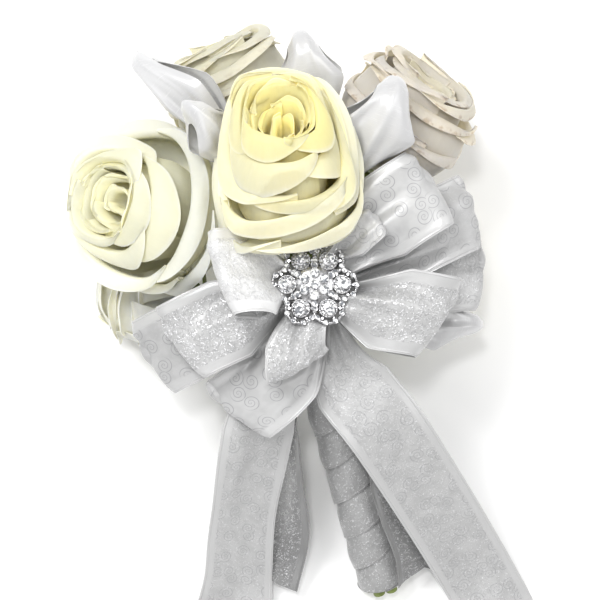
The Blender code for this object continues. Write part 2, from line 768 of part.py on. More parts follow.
def ring(name, radius, thickness, centre, look, sides=10, tube_sides=4):
    """A closed ring about +Z."""
    points, faces = [], []
    for i in range(sides):
        turn = 2 * math.pi * i / sides
        out = Vector((math.cos(turn), math.sin(turn), 0))
        for k in range(tube_sides):
            round_it = 2 * math.pi * k / tube_sides
            offset = out * (radius + thickness * math.cos(round_it))
            points.append(centre + offset + Vector((0, 0, thickness * math.sin(round_it))))
    for i in range(sides):
        for k in range(tube_sides):
            a, b = i * tube_sides + k, i * tube_sides + (k + 1) % tube_sides
            c = (i + 1) % sides * tube_sides + (k + 1) % tube_sides
            d = (i + 1) % sides * tube_sides + k
            faces.append((a, b, c, d))
    return make_object(name, points, faces, look)


def stone_places():
    """Where each stone sits on the brooch: one in the middle, six round it and one on each petal."""
    places = [Vector((0, 0, 6.4)) * MM]
    for k in range(6):
        turn = math.radians(60 * k + 30)
        places.append(Vector((5.4 * math.cos(turn), 5.4 * math.sin(turn), 5.6)) * MM)
    for k in range(BROOCH_PETALS):
        turn = math.radians(60 * k)
        out = BROOCH_PETAL_AT + 1.6 * MM
        places.append(Vector((out * math.cos(turn), out * math.sin(turn), 4.7 * MM)))
    return places


def brooch():
    """The brooch: a back plate, openwork petals and a cup for each stone, then the stones."""
    place = bow_frame(BOW_CORE_HEIGHT / 2 + CLEARANCE)
    plate = lathe("brooch_setting", ((9.5, 0), (10.5, 0.8), (9.5, 1.8), (6, 3)), 18, silver())
    pieces = []
    for k in range(BROOCH_PETALS):
        turn = math.radians(60 * k)
        centre = Vector((math.cos(turn), math.sin(turn), 0)) * BROOCH_PETAL_AT
        centre.z = 1.3 * MM
        pieces.append(ring("brooch_petal", BROOCH_PETAL_RING, 1.1 * MM, centre, silver()))
        spoke = [Vector((math.cos(turn), math.sin(turn), 0)) * r * MM for r in (7, 19)]
        spoke = [p + Vector((0, 0, 1.3 * MM)) for p in spoke]
        points, faces = tube(spoke, [1.0 * MM, 1.0 * MM], 4)
        pieces.append(make_object("brooch_spoke", points, faces, silver()))
    for seat in stone_places():
        top = seat.z / MM - CLEARANCE / MM - 1.9
        cup = lathe("brooch_cup", ((1.7, 0.9), (2.3, top)), 6, silver())
        cup.data.transform(Matrix.Translation((seat.x, seat.y, 0)))
        pieces.append(cup)
    fuse(plate, pieces)
    plate.matrix_basis = place
    wide = STONE_RADIUS / MM
    shape = ((wide * 0.35, -1.9), (wide, 0.1), (wide * 0.6, 1.3))
    for index, seat in enumerate(stone_places()):
        stone = lathe(f"stone_{index + 1:02d}", shape, 8, crystal())
        stone.matrix_basis = place @ Matrix.Translation(seat)


def clear_scene():
    """Removes what the scene starts with."""
    for body in list(bpy.data.objects):
        bpy.data.objects.remove(body)


def main():
    """Builds every piece, then moves them all so that the footprint's middle is the origin."""
    clear_scene()
    seats = place_blooms()
    stem_paths = place_stems(seats)
    handle()
    bow_core()
    bow_wire()
    bow_loops()
    satin_loops(stem_paths)
    tails()
    brooch()
    for body in bpy.data.objects:
        body.matrix_basis = Matrix.Translation(-ORIGIN) @ body.matrix_basis


main()
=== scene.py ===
"""The looks of the bridal bouquet: petals, ribbons, satin loops, brooch, handle and stems."""

import math

import bpy
import numpy as np
from mathutils import Matrix, Vector


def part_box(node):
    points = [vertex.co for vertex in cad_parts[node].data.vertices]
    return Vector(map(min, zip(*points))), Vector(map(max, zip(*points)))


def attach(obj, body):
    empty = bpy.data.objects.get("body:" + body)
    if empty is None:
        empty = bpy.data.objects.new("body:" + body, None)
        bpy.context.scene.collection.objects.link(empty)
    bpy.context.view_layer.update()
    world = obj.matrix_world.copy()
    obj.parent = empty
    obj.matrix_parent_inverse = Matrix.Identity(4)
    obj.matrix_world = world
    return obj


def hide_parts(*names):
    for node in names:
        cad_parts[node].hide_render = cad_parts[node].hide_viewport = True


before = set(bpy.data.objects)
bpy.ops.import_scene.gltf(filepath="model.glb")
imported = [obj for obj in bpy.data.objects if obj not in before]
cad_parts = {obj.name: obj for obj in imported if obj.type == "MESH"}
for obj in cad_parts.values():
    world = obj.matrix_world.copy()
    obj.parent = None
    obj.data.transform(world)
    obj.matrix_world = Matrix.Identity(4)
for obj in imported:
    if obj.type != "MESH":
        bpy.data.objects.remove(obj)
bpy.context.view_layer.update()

# All lengths are in millimetres here, and build() moves them to the part's own origin
MM = 0.001
ORIGIN = np.array((9.5, -33.2, 0.0))
CLEARANCE = 0.3
SHARP_DEGREES = 50

# The camera's height in metres, and each light's place, its size in metres and its power in watts
CAMERA_HEIGHT = 1.1
CAMERA_LENS = 121.3
LIGHTS = {
    "key": ((-0.45, 0.55, 1.2), 0.4, 11.5),
    "fill": ((0.8, 0.1, 1.2), 0.9, 7),
    "flash": ((-0.1, 0.28, 1.6), 0.12, 6),
    "front": ((-0.3, -1.0, 1.0), 0.8, 4),
}
LIGHTS_AIM = Vector((0, 0.03, 0.08))
WORLD_LIGHT = 0.5

# Seeds of the random draws
BLOOM_SEED = 40
LOOP_SEED = 90
SATIN_SEED = 60
TAIL_SEED = 20
HANDLE_SEED = 5

# The handle and stems. HIP has places along a stem's end, counted back from it, and the radius at each.
CUT_END = Vector((44, -150, 10.8))
NECK = Vector((8, -25, 71))
TAPE_LENGTH = 16
WRAP_BANDS = 6
WRAP_STEPS = 48
WRAP_THICKNESS = 0.3
STEM_RADIUS = 3.2
STEM_TAPER = 0.4
STEM_SIDES = 14
STEM_PITCH = 6.8
STEM_SHOWS = 5
HIP = (
    (13, 2.8), (11, 2.9), (9.5, 3.5), (7.5, 4.7), (5.5, 5.6),
    (3.8, 6.0), (2.2, 6.0), (0.8, 5.4), (0, 4.4),
)
SEPAL_THICKNESS = 0.7

# The ribbons, the bow's centre and the brooch
RIBBON_SLOT = "silver_white_ribbon"
RIBBON_WIDTH = 40
RIBBON_COLS = 25
RIBBON_THICKNESS = 0.35
RIBBON_LOWEST = 0.3
TAIL_LOWEST = 0.45
TAIL_STEPS = 10
LOOP_STEPS = 80
LOOP_FEET_APART = 5
BOW_CENTRE = Vector((7, 7, 113))
BOW_FACING = Vector((0, 0.04, 1)).normalized()
BOW_CORE_RADIUS = 7
BOW_CORE_HEIGHT = 22
STONE_RADIUS = 2.2
CENTRE_RADIUS = 9
BEAD_DEPTH = 0.22

# The petals. Blooms that open up to TALL_UP_TO have the tall rings.
BELLY_HEIGHT = 32
SEAT_RADIUS = 5.5
PETAL_ROWS = 31
PETAL_COLS = 35
PETAL_THICKNESS = 0.3
PRESSED_FROM = 23
PRESSED_SHARE = 0.5
TALL_UP_TO = 0.3
FLOOR_GAP = 0.05

# Where each bloom's belly is, the way it faces, its size across and along its axis, its
# colours, how far its front petals open, and whether it lies on the surface
BLOOMS = {
    "rose_front": ((-7, 68, 147), (-0.06, 0.76, 0.65), (0.98, 1.32), "cream", 1.0, False),
    "rose_left": ((-79, 47, 100), (-0.75, 0.15, 0.64), (1.2, 1.08), "pale", 0.85, False),
    "rose_upper_left": ((-33, 105, 84), (-0.42, 0.9, 0.16), (0.98, 1.0), "beige", 0.25, False),
    "rose_upper_right": ((52, 91, 87), (0.55, 0.78, 0.2), (1.02, 1.0), "blush", 0.22, False),
    "rose_right": ((57, 10, 40), (0.86, 0.12, -0.1), (0.9, 0.92), "pale", 0.5, True),
    "rose_lower_left": ((-82, 4, 40), (-0.85, 0.1, -0.25), (0.9, 0.92), "ivory", 0.4, True),
    "rose_back": ((6, 67, 34), (0.05, 0.72, -0.69), (0.9, 0.92), "cream", 0.5, True),
}

# The rings of petals, from the heart out: the angles of the petals' middles, half the angle that each
# spans, the belly's radius and its height in front and behind; the crest's radius and height and then
# the edge's radius and height, in front and behind; how far the edge waves, and how yellow the petal is.
RINGS = (
    ((40, 200), 120, 4.8, (32, 36), (4.0, 41, 4.4, 46), (5.2, 42, 6.4, 46.5), 1.1, 1.0),
    ((110, 230, 350), 80, 9.2, (31, 36), (8.2, 42.6, 8.8, 50), (9.6, 43.2, 11.0, 50.5), 1.5, 1.0),
    ((25, 145, 262), 84, 13.2, (30, 38), (11.8, 45, 13.2, 54), (14.2, 45.2, 15.2, 54), 1.6, 1.0),
    ((60, 175, 300), 78, 16.2, (28, 38), (15.0, 47, 15.8, 57.5), (21.0, 38.7, 18.4, 57.5), 1.2, 0.9),
    ((64, 190, 313), 84, 19.5, (22, 36), (18.8, 37.6, 19.0, 57), (28.0, 25.4, 22.0, 58), 1.4, 0.8),
    ((125, 250, 8), 86, 24.5, (14, 34), (25.4, 26.6, 23.0, 54), (32.4, 20.8, 26.6, 55.5), 1.5, 0.65),
    ((82, 200, 305), 74, 28.5, (10, 32), (30.0, 20.0, 26.6, 48), (36.8, 13.0, 31.0, 48.5), 1.6, 0.5),
    ((20, 125, 215, 310), 62, 31.5, (4, 29), (33.0, 9.0, 30.0, 41), (36.6, 4.6, 35.0, 40), 1.6, 0.35),
)
# The same for blooms seen from the side, whose petals stay tall and wrap over one another
TALL_RINGS = (
    ((40, 200), 120, 4.8, (32, 36), (4.0, 43, 4.4, 50), (5.2, 44, 6.4, 50.5), 1.1, 1.0),
    ((25, 145, 262), 84, 13.0, (30, 38), (11.0, 48, 12.2, 56), (13.2, 48.2, 14.6, 56), 1.6, 0.8),
    ((90, 210, 330), 92, 19.5, (24, 38), (18.0, 49, 18.6, 58), (25.0, 42, 22.4, 57), 1.6, 0.6),
    ((30, 150, 270), 88, 25.0, (18, 34), (24.6, 42, 23.6, 55.5), (31.4, 33, 28.4, 53.5), 1.8, 0.5),
    ((95, 215, 335), 80, 29.0, (12, 32), (30.2, 26, 27.6, 51), (36.0, 17, 32.6, 47.5), 1.8, 0.4),
    ((35, 155, 275), 68, 31.5, (6, 29), (33.0, 12, 30.6, 40), (36.4, 6, 34.6, 36), 1.6, 0.3),
)

# Each loop of the bow: its foot's height on the centre and the angle there, the middle of its
# curve, its bend, the way across it, its width, the gap between its layers and its glitter
BOW_LOOPS = {
    "bow_loop_left_front": (7, 175, (-19, 12, 112), (-39, 14, 138), (0.3, -0.95, 0), 42, 12, 0.7),
    "bow_loop_right_inner": (7, 78, (23, 29, 118), (36, 40, 130), (0.75, -0.66, 0), 20, 6, 0.1),
    "bow_loop_right_front": (7, -38, (38, -4, 114), (70, -9, 120), (-0.49, -0.87, 0), 44, 15, 1.0),
    "bow_loop_right_top": (3, 35, (33, 38, 107), (65, 56, 121), (0.57, -0.82, 0), 42, 12, 0.0),
    "bow_loop_low_front": (3, 255, (-2, -14, 114), (-2, -35, 119.5), (-0.85, -0.5, 0), 34, 10, 1.0),
    "bow_loop_left_middle": (-1, 193, (-28, -6, 105), (-61, -22, 112), (0.54, -0.84, 0), 42, 10, 1.0),
    "bow_loop_right_back": (-1, 12, (50, 28, 97), (86, 45, 96), (0.3, -0.95, 0), 38, 9, 0.1),
    "bow_loop_low_left": (-5.2, 255, (4, -30, 96), (-33, -57, 96), (0.75, -0.66, 0), 42, 8, 0.0),
    "bow_loop_left_back": (-5.2, 185, (-38, -10, 86), (-76, -30, 85), (0.5, -0.86, 0), 42, 10, 0.05),
    "bow_loop_right_low": (-5.2, -5, (54, 12, 86), (92, 14, 81), (-0.03, -1, 0), 38, 7, 0.35),
}
# Each satin loop: its foot, middle and bend, the way across the foot and the bend, width and gap
SATIN_LOOPS = {
    "satin_loop_top": ((8, 82, 92), (6, 106, 108), (1, 126, 113), (1, 0, 0), (0.98, 0.16, 0), 30, 11),
    "satin_loop_upper_left": (
        (-25, 64, 99), (-45, 98, 141), (-76, 115, 119), (0.25, 0.25, 0.93), (0.6, 0.5, 0.55), 24, 8,
    ),
    "satin_loop_between": (
        (-24, 62, 108), (-43, 78, 138), (-50, 90, 147), (-0.55, -0.83, 0.1), (-0.55, -0.83, 0.1), 22, 8,
    ),
    "satin_loop_right": (
        (22, 62, 106), (36, 76, 134), (45, 101, 134), (0.9, -0.3, -0.2), (0.9, -0.3, -0.2), 34, 11,
    ),
    "satin_loop_far_right": (
        (40, -6, 73), (64, -12, 72), (87, -12, 72), (-0.1, -0.99, 0), (-0.1, -0.99, 0), 26, 9,
    ),
}
# Each tail: its foot on the bow's centre if it reaches that, its centreline, the way across it at
# each point, how deep its end is notched, and its glitter
TAILS = {
    "ribbon_tail_left": (
        (-9.2, 235),
        ((-11, -32, 90), (-21, -66, 77), (-30, -112, 45), (-33, -146, 23), (-36, -168, 9),
         (-40, -182, 1.5), (-41.5, -191, 0.45), (-43, -200, 0.45)),
        ((0.95, -0.2, -0.1), (0.88, -0.1, -0.4), (0.82, -0.1, -0.55), (0.85, -0.12, -0.45),
         (0.99, -0.15, -0.1), (0.99, -0.12, 0), (0.99, -0.12, 0), (0.99, -0.12, 0)),
        12, 0.25,
    ),
    "ribbon_tail_left_back": (
        None,
        ((-0.6, -42, 62), (-6, -62, 54), (-8, -90, 39), (-8, -115, 26), (-15, -138, 14), (-21, -157, 8)),
        ((0.1, 0.3, 0.95), (0.5, 0.1, 0.86), (0.5, 0.1, 0.86), (0.6, 0.1, 0.75),
         (0.9, 0.05, 0.4), (0.97, 0, 0.25)),
        9, 0.6,
    ),
    "ribbon_tail_right": (
        (-9.2, 305),
        ((17, -25, 91), (27, -44, 88), (44, -66, 82), (70, -106, 48), (92, -142, 14), (104, -163, 4),
         (111, -176, 1), (115, -184, 0.45), (119, -192, 0.45)),
        ((0.95, 0.3, 0), (0.87, 0.5, 0), (0.84, 0.54, 0), (0.84, 0.54, 0), (0.85, 0.52, 0),
         (0.87, 0.5, 0), (0.88, 0.47, 0), (0.89, 0.45, 0), (0.89, 0.45, 0)),
        12, 0.35,
    ),
    "ribbon_tail_right_back": (
        None,
        ((27.1, -43, 60), (41, -66, 56), (50, -92, 44), (57, -112, 36), (64, -134, 22), (67, -151, 14.6)),
        ((0.1, 0.3, -0.95), (0.7, 0.3, -0.6), (0.72, 0.25, -0.63), (0.7, 0.2, -0.68),
         (0.7, 0.1, -0.7), (0.7, 0.1, -0.7)),
        9, 0.5,
    ),
}

# Each stem's place round the handle in degrees, and how far it keeps straight on from the neck
# and towards the bloom, as a share of the way between them
STEMS = {
    "rose_upper_left": (None, 0.36, 0.3),
    "rose_front": (330, 0.15, 0.5),
    "rose_upper_right": (30, 0.36, 0.3),
    "rose_right": (150, 0.15, 0.12),
    "rose_back": (90, 0.2, 0.1),
    "rose_lower_left": (210, 0.15, 0.12),
    "rose_left": (270, 0.3, 0.3),
}


# Materials


class Look:
    """A material, with short ways to add the nodes that it needs."""

    def __init__(self, name):
        self.material = bpy.data.materials.new(name)
        self.material.use_nodes = True
        self.nodes = self.material.node_tree.nodes
        self.links = self.material.node_tree.links

    def put(self, socket, given):
        """Sets a socket to a number or a colour, or links it to another socket."""
        if isinstance(given, bpy.types.NodeSocket):
            self.links.new(given, socket)
        elif isinstance(given, tuple) and len(socket.default_value) == 4:
            socket.default_value = (*given, 1)
        else:
            socket.default_value = given

    def node(self, kind, inputs, **settings):
        """A node with its settings and inputs."""
        made = self.nodes.new("ShaderNode" + kind)
        for name, setting in settings.items():
            setattr(made, name, setting)
        for name, given in inputs.items():
            self.put(made.inputs[name], given)
        return made

    def shade(self, inputs):
        """Feeds the shader's inputs, and gives the finished material."""
        shader = self.nodes["Principled BSDF"]
        for name, given in inputs.items():
            self.put(shader.inputs[name], given)
        return self.material

    def value(self, operation, first, second=0.0):
        """A Math node on numbers or sockets."""
        return self.node("Math", {0: first, 1: second}, operation=operation).outputs[0]

    def times(self, first, second):
        """The product of two numbers or sockets."""
        return self.value("MULTIPLY", first, second)

    def step(self, given, low, high, to_low=0.0, to_high=1.0):
        """The given number, mapped smoothly from low..high to to_low..to_high."""
        inputs = {"Value": given, "From Min": low, "From Max": high, "To Min": to_low, "To Max": to_high}
        return self.node("MapRange", inputs, interpolation_type="SMOOTHSTEP").outputs["Result"]

    def blend(self, factor, first, second, kind="MIX"):
        """A mix of two colours or sockets."""
        inputs = {0: factor, 6: first, 7: second}
        return self.node("Mix", inputs, data_type="RGBA", blend_type=kind).outputs[2]

    def noise(self, where, scale, detail, distortion=0.0, dimensions="3D"):
        """A noise texture's value."""
        inputs = {"Vector": where, "Scale": scale, "Detail": detail, "Distortion": distortion}
        return self.node("TexNoise", inputs, noise_dimensions=dimensions).outputs["Fac"]

    def number(self, name):
        """The value of a number kept on the mesh's points."""
        return self.node("Attribute", {}, attribute_name=name).outputs["Fac"]

    def coords(self, kind):
        """The UV map, or the place on the object in metres."""
        return self.node("TexCoord", {}).outputs[kind]

    def stretched(self, where, scale):
        """Coordinates with a scale of their own each way."""
        return self.node("Mapping", {"Vector": where, "Scale": scale}).outputs[0]

    def split(self, given, kind="XYZ"):
        """The three numbers of a vector or a colour."""
        return self.node("Separate" + kind, {0: given}).outputs

    def bump(self, height, strength, distance, before=None):
        """A bump on a height, over the bump before it."""
        inputs = {"Strength": strength, "Distance": distance, "Height": height}
        if before:
            inputs["Normal"] = before
        return self.node("Bump", inputs).outputs["Normal"]


PETAL_COLOURS = {
    # base near the seat, middle, heart, rim, spots
    "cream": ((0.95, 0.91, 0.6), (0.94, 0.9, 0.62), (0.97, 0.84, 0.27), (0.93, 0.91, 0.73), 0.0),
    "pale": ((0.91, 0.89, 0.68), (0.88, 0.87, 0.7), (0.94, 0.89, 0.5), (0.89, 0.89, 0.81), 0.0),
    "ivory": ((0.93, 0.92, 0.78), (0.93, 0.92, 0.82), (0.94, 0.91, 0.66), (0.94, 0.94, 0.9), 0.0),
    "beige": ((0.66, 0.62, 0.42), (0.7, 0.65, 0.48), (0.75, 0.69, 0.38), (0.7, 0.65, 0.54), 0.21),
    "blush": ((0.68, 0.6, 0.46), (0.7, 0.62, 0.5), (0.74, 0.66, 0.42), (0.68, 0.59, 0.5), 0.72),
}
SPOT_COLOUR = (0.42, 0.3, 0.2)


def petal_material(kind):
    """Soft petal: yellow at the heart, whiter rims, fine veins and, on some blooms, tan rim spots."""
    seat, middle, heart, rim, spots = PETAL_COLOURS[kind]
    look = Look("petal_" + kind)
    uv = look.coords("UV")
    place = look.coords("Object")
    edge = look.number("edge")
    colour = look.blend(look.step(look.number("tone"), 0.1, 0.95), middle, heart)
    low = look.step(look.split(uv)["Y"], 0.55, 0.1)
    colour = look.blend(look.times(low, 0.7), colour, seat)
    patches = look.noise(place, 55, 3.0)
    near_rim = look.step(edge, 0.45, 1.0)
    whiten = look.times(near_rim, look.step(patches, 0.3, 0.75, 0.25, 0.75))
    colour = look.blend(whiten, colour, rim)
    veins = look.noise(look.stretched(uv, (34, 2.2, 1)), 1.0, 4.0, 0.4)
    shade = look.step(veins, 0.35, 0.7, 0.98, 1.0)
    grey = look.node("CombineColor", {0: shade, 1: shade, 2: shade}).outputs[0]
    colour = look.blend(1.0, colour, grey, "MULTIPLY")
    if spots:
        specks = look.step(look.noise(place, 240, 2.0), 0.5, 0.66)
        mask = look.times(specks, look.step(edge, 0.02, 0.5))
        colour = look.blend(look.times(mask, spots), colour, SPOT_COLOUR)
    return look.shade({
        "Base Color": colour,
        "Normal": look.bump(patches, 0.5, 0.0022, look.bump(veins, 0.3, 0.0004)),
        "Roughness": look.step(patches, 0.2, 0.8, 0.5, 0.62),
        "Subsurface Weight": 0.6,
        "Subsurface Radius": (1.0, 0.9, 0.6),
        "Subsurface Scale": 0.005,
        "Sheen Weight": 0.1,
        "Specular IOR Level": 0.3,
    })


SCROLL_TURNS = 5.0


def scrolls(look, uv):
    """Thin curled lines: one spiral in every cell of a loose grid over the ribbon."""
    inputs = {"Vector": uv, "Scale": 1.0, "Randomness": 0.72}
    cells = look.node("TexVoronoi", inputs, voronoi_dimensions="2D").outputs
    inputs = {0: uv, 1: cells["Position"]}
    away = look.split(look.node("VectorMath", inputs, operation="SUBTRACT").outputs[0])
    side, start, _ = look.split(cells["Color"], "Color")
    hand = look.times(look.value("SUBTRACT", look.value("ROUND", side), 0.5), 2.0)
    angle = look.value("ARCTAN2", away["Y"], look.times(away["X"], hand))
    start = look.value("ADD", look.value("DIVIDE", angle, 2 * math.pi), start)
    grown = look.times(look.value("POWER", cells["Distance"], 0.75), SCROLL_TURNS)
    phase = look.value("FRACT", look.value("ADD", start, grown))
    line = look.value("ABSOLUTE", look.value("SUBTRACT", phase, 0.5))
    return look.times(look.step(line, 0.14, 0.05), look.step(cells["Distance"], 0.46, 0.4))


# The glitter's white is the silver flakes' own colour, brightened partly as painted glints; the dark
# fleck colour is painted dark reflection of flakes turned from the light
GLITTER = (0.98, 0.98, 1.0)
PAINTED_DARK_FLECK = (0.26, 0.26, 0.27)
SCROLL_COLOUR = (0.24, 0.24, 0.25)
# Painted shade: the near-black that darkens the pleated creases at a loop's foot
PAINTED_SHADE_COLOUR = (0.1, 0.1, 0.1)


def ribbon_material(name, grey, printed, border_from):
    """Wired ribbon: satin borders, a glitter band down the middle and a scroll print. Its glitter flecks
    are partly painted glints and painted dark reflections, and its pleats at the foot carry painted
    shade. The UV map is in centimetres across and along, and the sparkle number says how much glitter
    shows."""
    look = Look(name)
    uv = look.coords("UV")
    off = look.value("ABSOLUTE", look.split(uv)["X"])
    middle = look.step(off, border_from + 0.08, border_from)
    sparkle = look.number("sparkle")
    flecks = look.node("TexVoronoi", {"Vector": uv, "Scale": 23.0}, voronoi_dimensions="2D")
    light, dark, high = look.split(flecks.outputs["Color"], "Color")
    clumps = look.step(look.noise(uv, 4.0, 5.0, 0.3, "2D"), 0.4, 0.6)
    dense = look.times(look.times(clumps, sparkle), middle)
    bright = look.times(look.step(light, 0.72, 0.9), dense)
    dark = look.times(look.step(dark, 0.55, 0.8), dense)
    plain = look.value("SUBTRACT", 1.0, look.times(sparkle, 0.75))
    curls = look.times(look.times(scrolls(look, uv), middle), plain)
    cloudy = look.step(look.noise(uv, 1.3, 2.0, 0.0, "2D"), 0.35, 0.65)
    colour = look.blend(cloudy, (grey * 0.9,) * 3, (grey,) * 3)
    colour = look.blend(middle, (grey * 1.07,) * 3, colour)
    # Painted dark reflections: the dark flecks darken the glitter band
    colour = look.blend(look.times(dark, 0.45), colour, PAINTED_DARK_FLECK)
    colour = look.blend(look.times(curls, printed), colour, SCROLL_COLOUR)
    # The flecks' white: the silver flakes' own colour, partly painted glints
    colour = look.blend(bright, colour, GLITTER)
    # Painted shade in the pleats at the foot, where the folds would shade one another
    colour = look.blend(look.times(look.number("deep"), 0.6), colour, PAINTED_SHADE_COLOUR)
    inputs = {"Vector": uv, "Scale": 9.0, "Distortion": 0.6}
    weave = look.node("TexWave", inputs, wave_type="BANDS", bands_direction="Y")
    ribs = look.bump(weave.outputs["Fac"], 0.12, 0.0002)
    wire = look.value("ABSOLUTE", look.value("SUBTRACT", off, look.number("wire")))
    raised = look.bump(look.step(wire, 0.06, 0.0), 0.45, 0.0006, ribs)
    rough = look.value("ADD", 0.24, look.times(middle, 0.08))
    rough = look.value("ADD", rough, look.times(dense, 0.12))
    return look.shade({
        "Base Color": colour,
        "Normal": look.bump(look.times(high, dense), 0.75, 0.0005, raised),
        "Roughness": look.value("SUBTRACT", rough, look.times(bright, 0.2)),
        "Metallic": look.times(bright, 0.35),
        "Sheen Weight": 0.25,
        "Sheen Roughness": 0.4,
        "Specular IOR Level": 0.8,
        "Subsurface Weight": 0.12,
        "Subsurface Radius": (1, 1, 1),
        "Subsurface Scale": 0.003,
    })


def satin_material(name, base):
    """Smooth satin with a soft, stretched sheen."""
    look = Look(name)
    threads = look.noise(look.stretched(look.coords("UV"), (1.2, 30, 1)), 1.0, 4.0)
    cloudy = look.noise(look.coords("Object"), 45, 2.0)
    darker = tuple(c * 0.92 for c in base)
    return look.shade({
        "Base Color": look.blend(look.step(cloudy, 0.35, 0.65), darker, base),
        "Normal": look.bump(cloudy, 0.25, 0.001, look.bump(threads, 0.1, 0.0002)),
        "Roughness": look.step(threads, 0.3, 0.7, 0.2, 0.28),
        "Sheen Weight": 0.3,
        "Subsurface Weight": 0.1,
        "Subsurface Radius": (1, 1, 1),
        "Subsurface Scale": 0.003,
        "Anisotropic": 0.5,
        "Specular IOR Level": 0.8,
    })


def green_material(name, dark, light):
    """Stem skin: streaks along the stem, brown flecks, a dull surface and a pale cut end."""
    look = Look(name)
    place = look.coords("Object")
    streaks = look.noise(place, 130, 4.0, 0.6)
    colour = look.blend(look.step(streaks, 0.35, 0.65), dark, light)
    flecks = look.step(look.noise(place, 420, 2.0), 0.62, 0.7)
    colour = look.blend(look.times(flecks, 0.5), colour, (0.16, 0.1, 0.03))
    colour = look.blend(look.step(look.number("cut"), 0.1, 0.8), colour, (0.6, 0.62, 0.35))
    return look.shade({
        "Base Color": colour,
        "Normal": look.bump(streaks, 0.35, 0.0006),
        "Roughness": 0.5,
    })


def silver_material(name):
    """Old silver, darker in its hollows."""
    look = Look(name)
    cloudy = look.noise(look.coords("Object"), 700, 3.0)
    corners = look.node("NewGeometry", {}).outputs["Pointiness"]
    colour = look.blend(look.step(corners, 0.44, 0.54), (0.08, 0.078, 0.075), (0.44, 0.44, 0.45))
    tarnish = look.times(look.step(cloudy, 0.45, 0.65), 0.4)
    return look.shade({
        "Base Color": look.blend(tarnish, colour, (0.25, 0.24, 0.23)),
        "Normal": look.bump(cloudy, 0.3, 0.0002),
        "Roughness": look.step(cloudy, 0.3, 0.7, 0.18, 0.36),
        "Metallic": 1.0,
    })


def stone_material(name):
    """Foil-backed cut glass, with painted glints and painted dark reflections: random cells of the colour
    are white or grey.
    """
    look = Look(name)
    cells = look.node("TexVoronoi", {"Vector": look.coords("Object"), "Scale": 900.0})
    light, high, _ = look.split(cells.outputs["Color"], "Color")
    return look.shade({
        # Painted glints and reflections: random cells are white or dark grey in the colour
        "Base Color": look.blend(look.step(light, 0.35, 0.65), (0.2, 0.21, 0.23), (1.0, 1.0, 1.0)),
        "Normal": look.bump(high, 0.35, 0.0004),
        "Roughness": 0.04,
        "Metallic": 0.15,
        "Coat Weight": 1.0,
        "Coat Roughness": 0.02,
    })


def floor_material():
    """Plain pale paper."""
    look = Look("floor_paper")
    cloudy = look.noise(look.coords("Object"), 4, 2.0)
    return look.shade({
        "Base Color": look.blend(cloudy, (0.93, 0.93, 0.93), (0.95, 0.95, 0.95)),
        "Roughness": 0.9,
        "Specular IOR Level": 0.1,
    })


# Meshes


def unit(given):
    """Arrows of length 1 along the last axis."""
    return given / np.maximum(np.linalg.norm(given, axis=-1, keepdims=True), 1e-9)


def shell(grid, thickness, uv, **numbers):
    """A thin closed sheet round a grid of points, with the same map and numbers on both its faces.
    A number is one for the whole sheet, or one for each point of the grid."""
    rows, cols = grid.shape[:2]
    normal = unit(np.cross(np.gradient(grid, axis=1), np.gradient(grid, axis=0)))
    off = normal * thickness / 2
    index = np.arange(rows * cols).reshape(rows, cols)
    corners = (index[:-1, :-1], index[:-1, 1:], index[1:, 1:], index[1:, :-1])
    front = np.stack(corners, axis=-1).reshape(-1, 4)
    back = front[:, ::-1] + rows * cols
    rim = np.concatenate([index[0, :], index[1:, -1], index[-1, -2::-1], index[-2:0:-1, 0]])
    ahead = np.roll(rim, -1)
    edge = np.stack([ahead, rim, rim + rows * cols, ahead + rows * cols], axis=-1)

    def both(given):
        """One face's values, repeated for the other."""
        return np.concatenate([given.reshape(rows * cols, -1)] * 2)

    return {
        "points": np.concatenate([(grid + off).reshape(-1, 3), (grid - off).reshape(-1, 3)]),
        "faces": np.concatenate([front, back, edge]),
        "uv": both(uv),
        **{name: both(np.broadcast_to(given, (rows, cols)))[:, 0] for name, given in numbers.items()},
    }


def join(pieces):
    """Several pieces' points, faces, maps and numbers as one."""
    names = [name for name in pieces[0] if name != "faces"]
    joined = {name: np.concatenate([piece[name] for piece in pieces]) for name in names}
    starts = np.cumsum([0] + [len(piece["points"]) for piece in pieces[:-1]])
    joined["faces"] = np.concatenate([piece["faces"] + start for piece, start in zip(pieces, starts)])
    return joined


def build(name, piece, look, replaced=None, smooth=True):
    """An object of a piece's mesh, in metres and in the part's frame, which stands for a CAD node."""
    mesh = bpy.data.meshes.new(name + "_mesh")
    points = (piece["points"] - ORIGIN) * MM
    faces = [face[:3] if face[2] == face[3] else face for face in piece["faces"].tolist()]
    mesh.from_pydata(points.tolist(), [], faces)
    mesh.materials.append(look)
    corners = np.empty(len(mesh.loops), dtype=np.int32)
    mesh.loops.foreach_get("vertex_index", corners)
    layer = mesh.uv_layers.new(name="flat")
    layer.data.foreach_set("uv", piece["uv"][corners].astype(np.float32).ravel())
    for number, values in piece.items():
        if number in ("points", "faces", "uv"):
            continue
        kept = mesh.attributes.new(number, "FLOAT", "POINT")
        kept.data.foreach_set("value", values.astype(np.float32))
    if smooth:
        mesh.shade_smooth()
        mesh.set_sharp_from_angle(angle=math.radians(SHARP_DEGREES))
    made = bpy.data.objects.new(name, mesh)
    bpy.context.scene.collection.objects.link(made)
    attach(made, "root")
    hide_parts(replaced or name.replace("_detail", ""))
    return made


def turned_to(direction):
    """The rotation that turns +Z to the direction."""
    return Vector(direction).normalized().to_track_quat("Z", "Y").to_matrix()


def curved(a, b, c, d, t):
    """A point between b and c on a smooth curve through all four."""
    bend = (2 * a - 5 * b + 4 * c - d) * t * t + (3 * b - a - 3 * c + d) * t ** 3
    return 0.5 * (2 * b + (c - a) * t + bend)


# Blooms


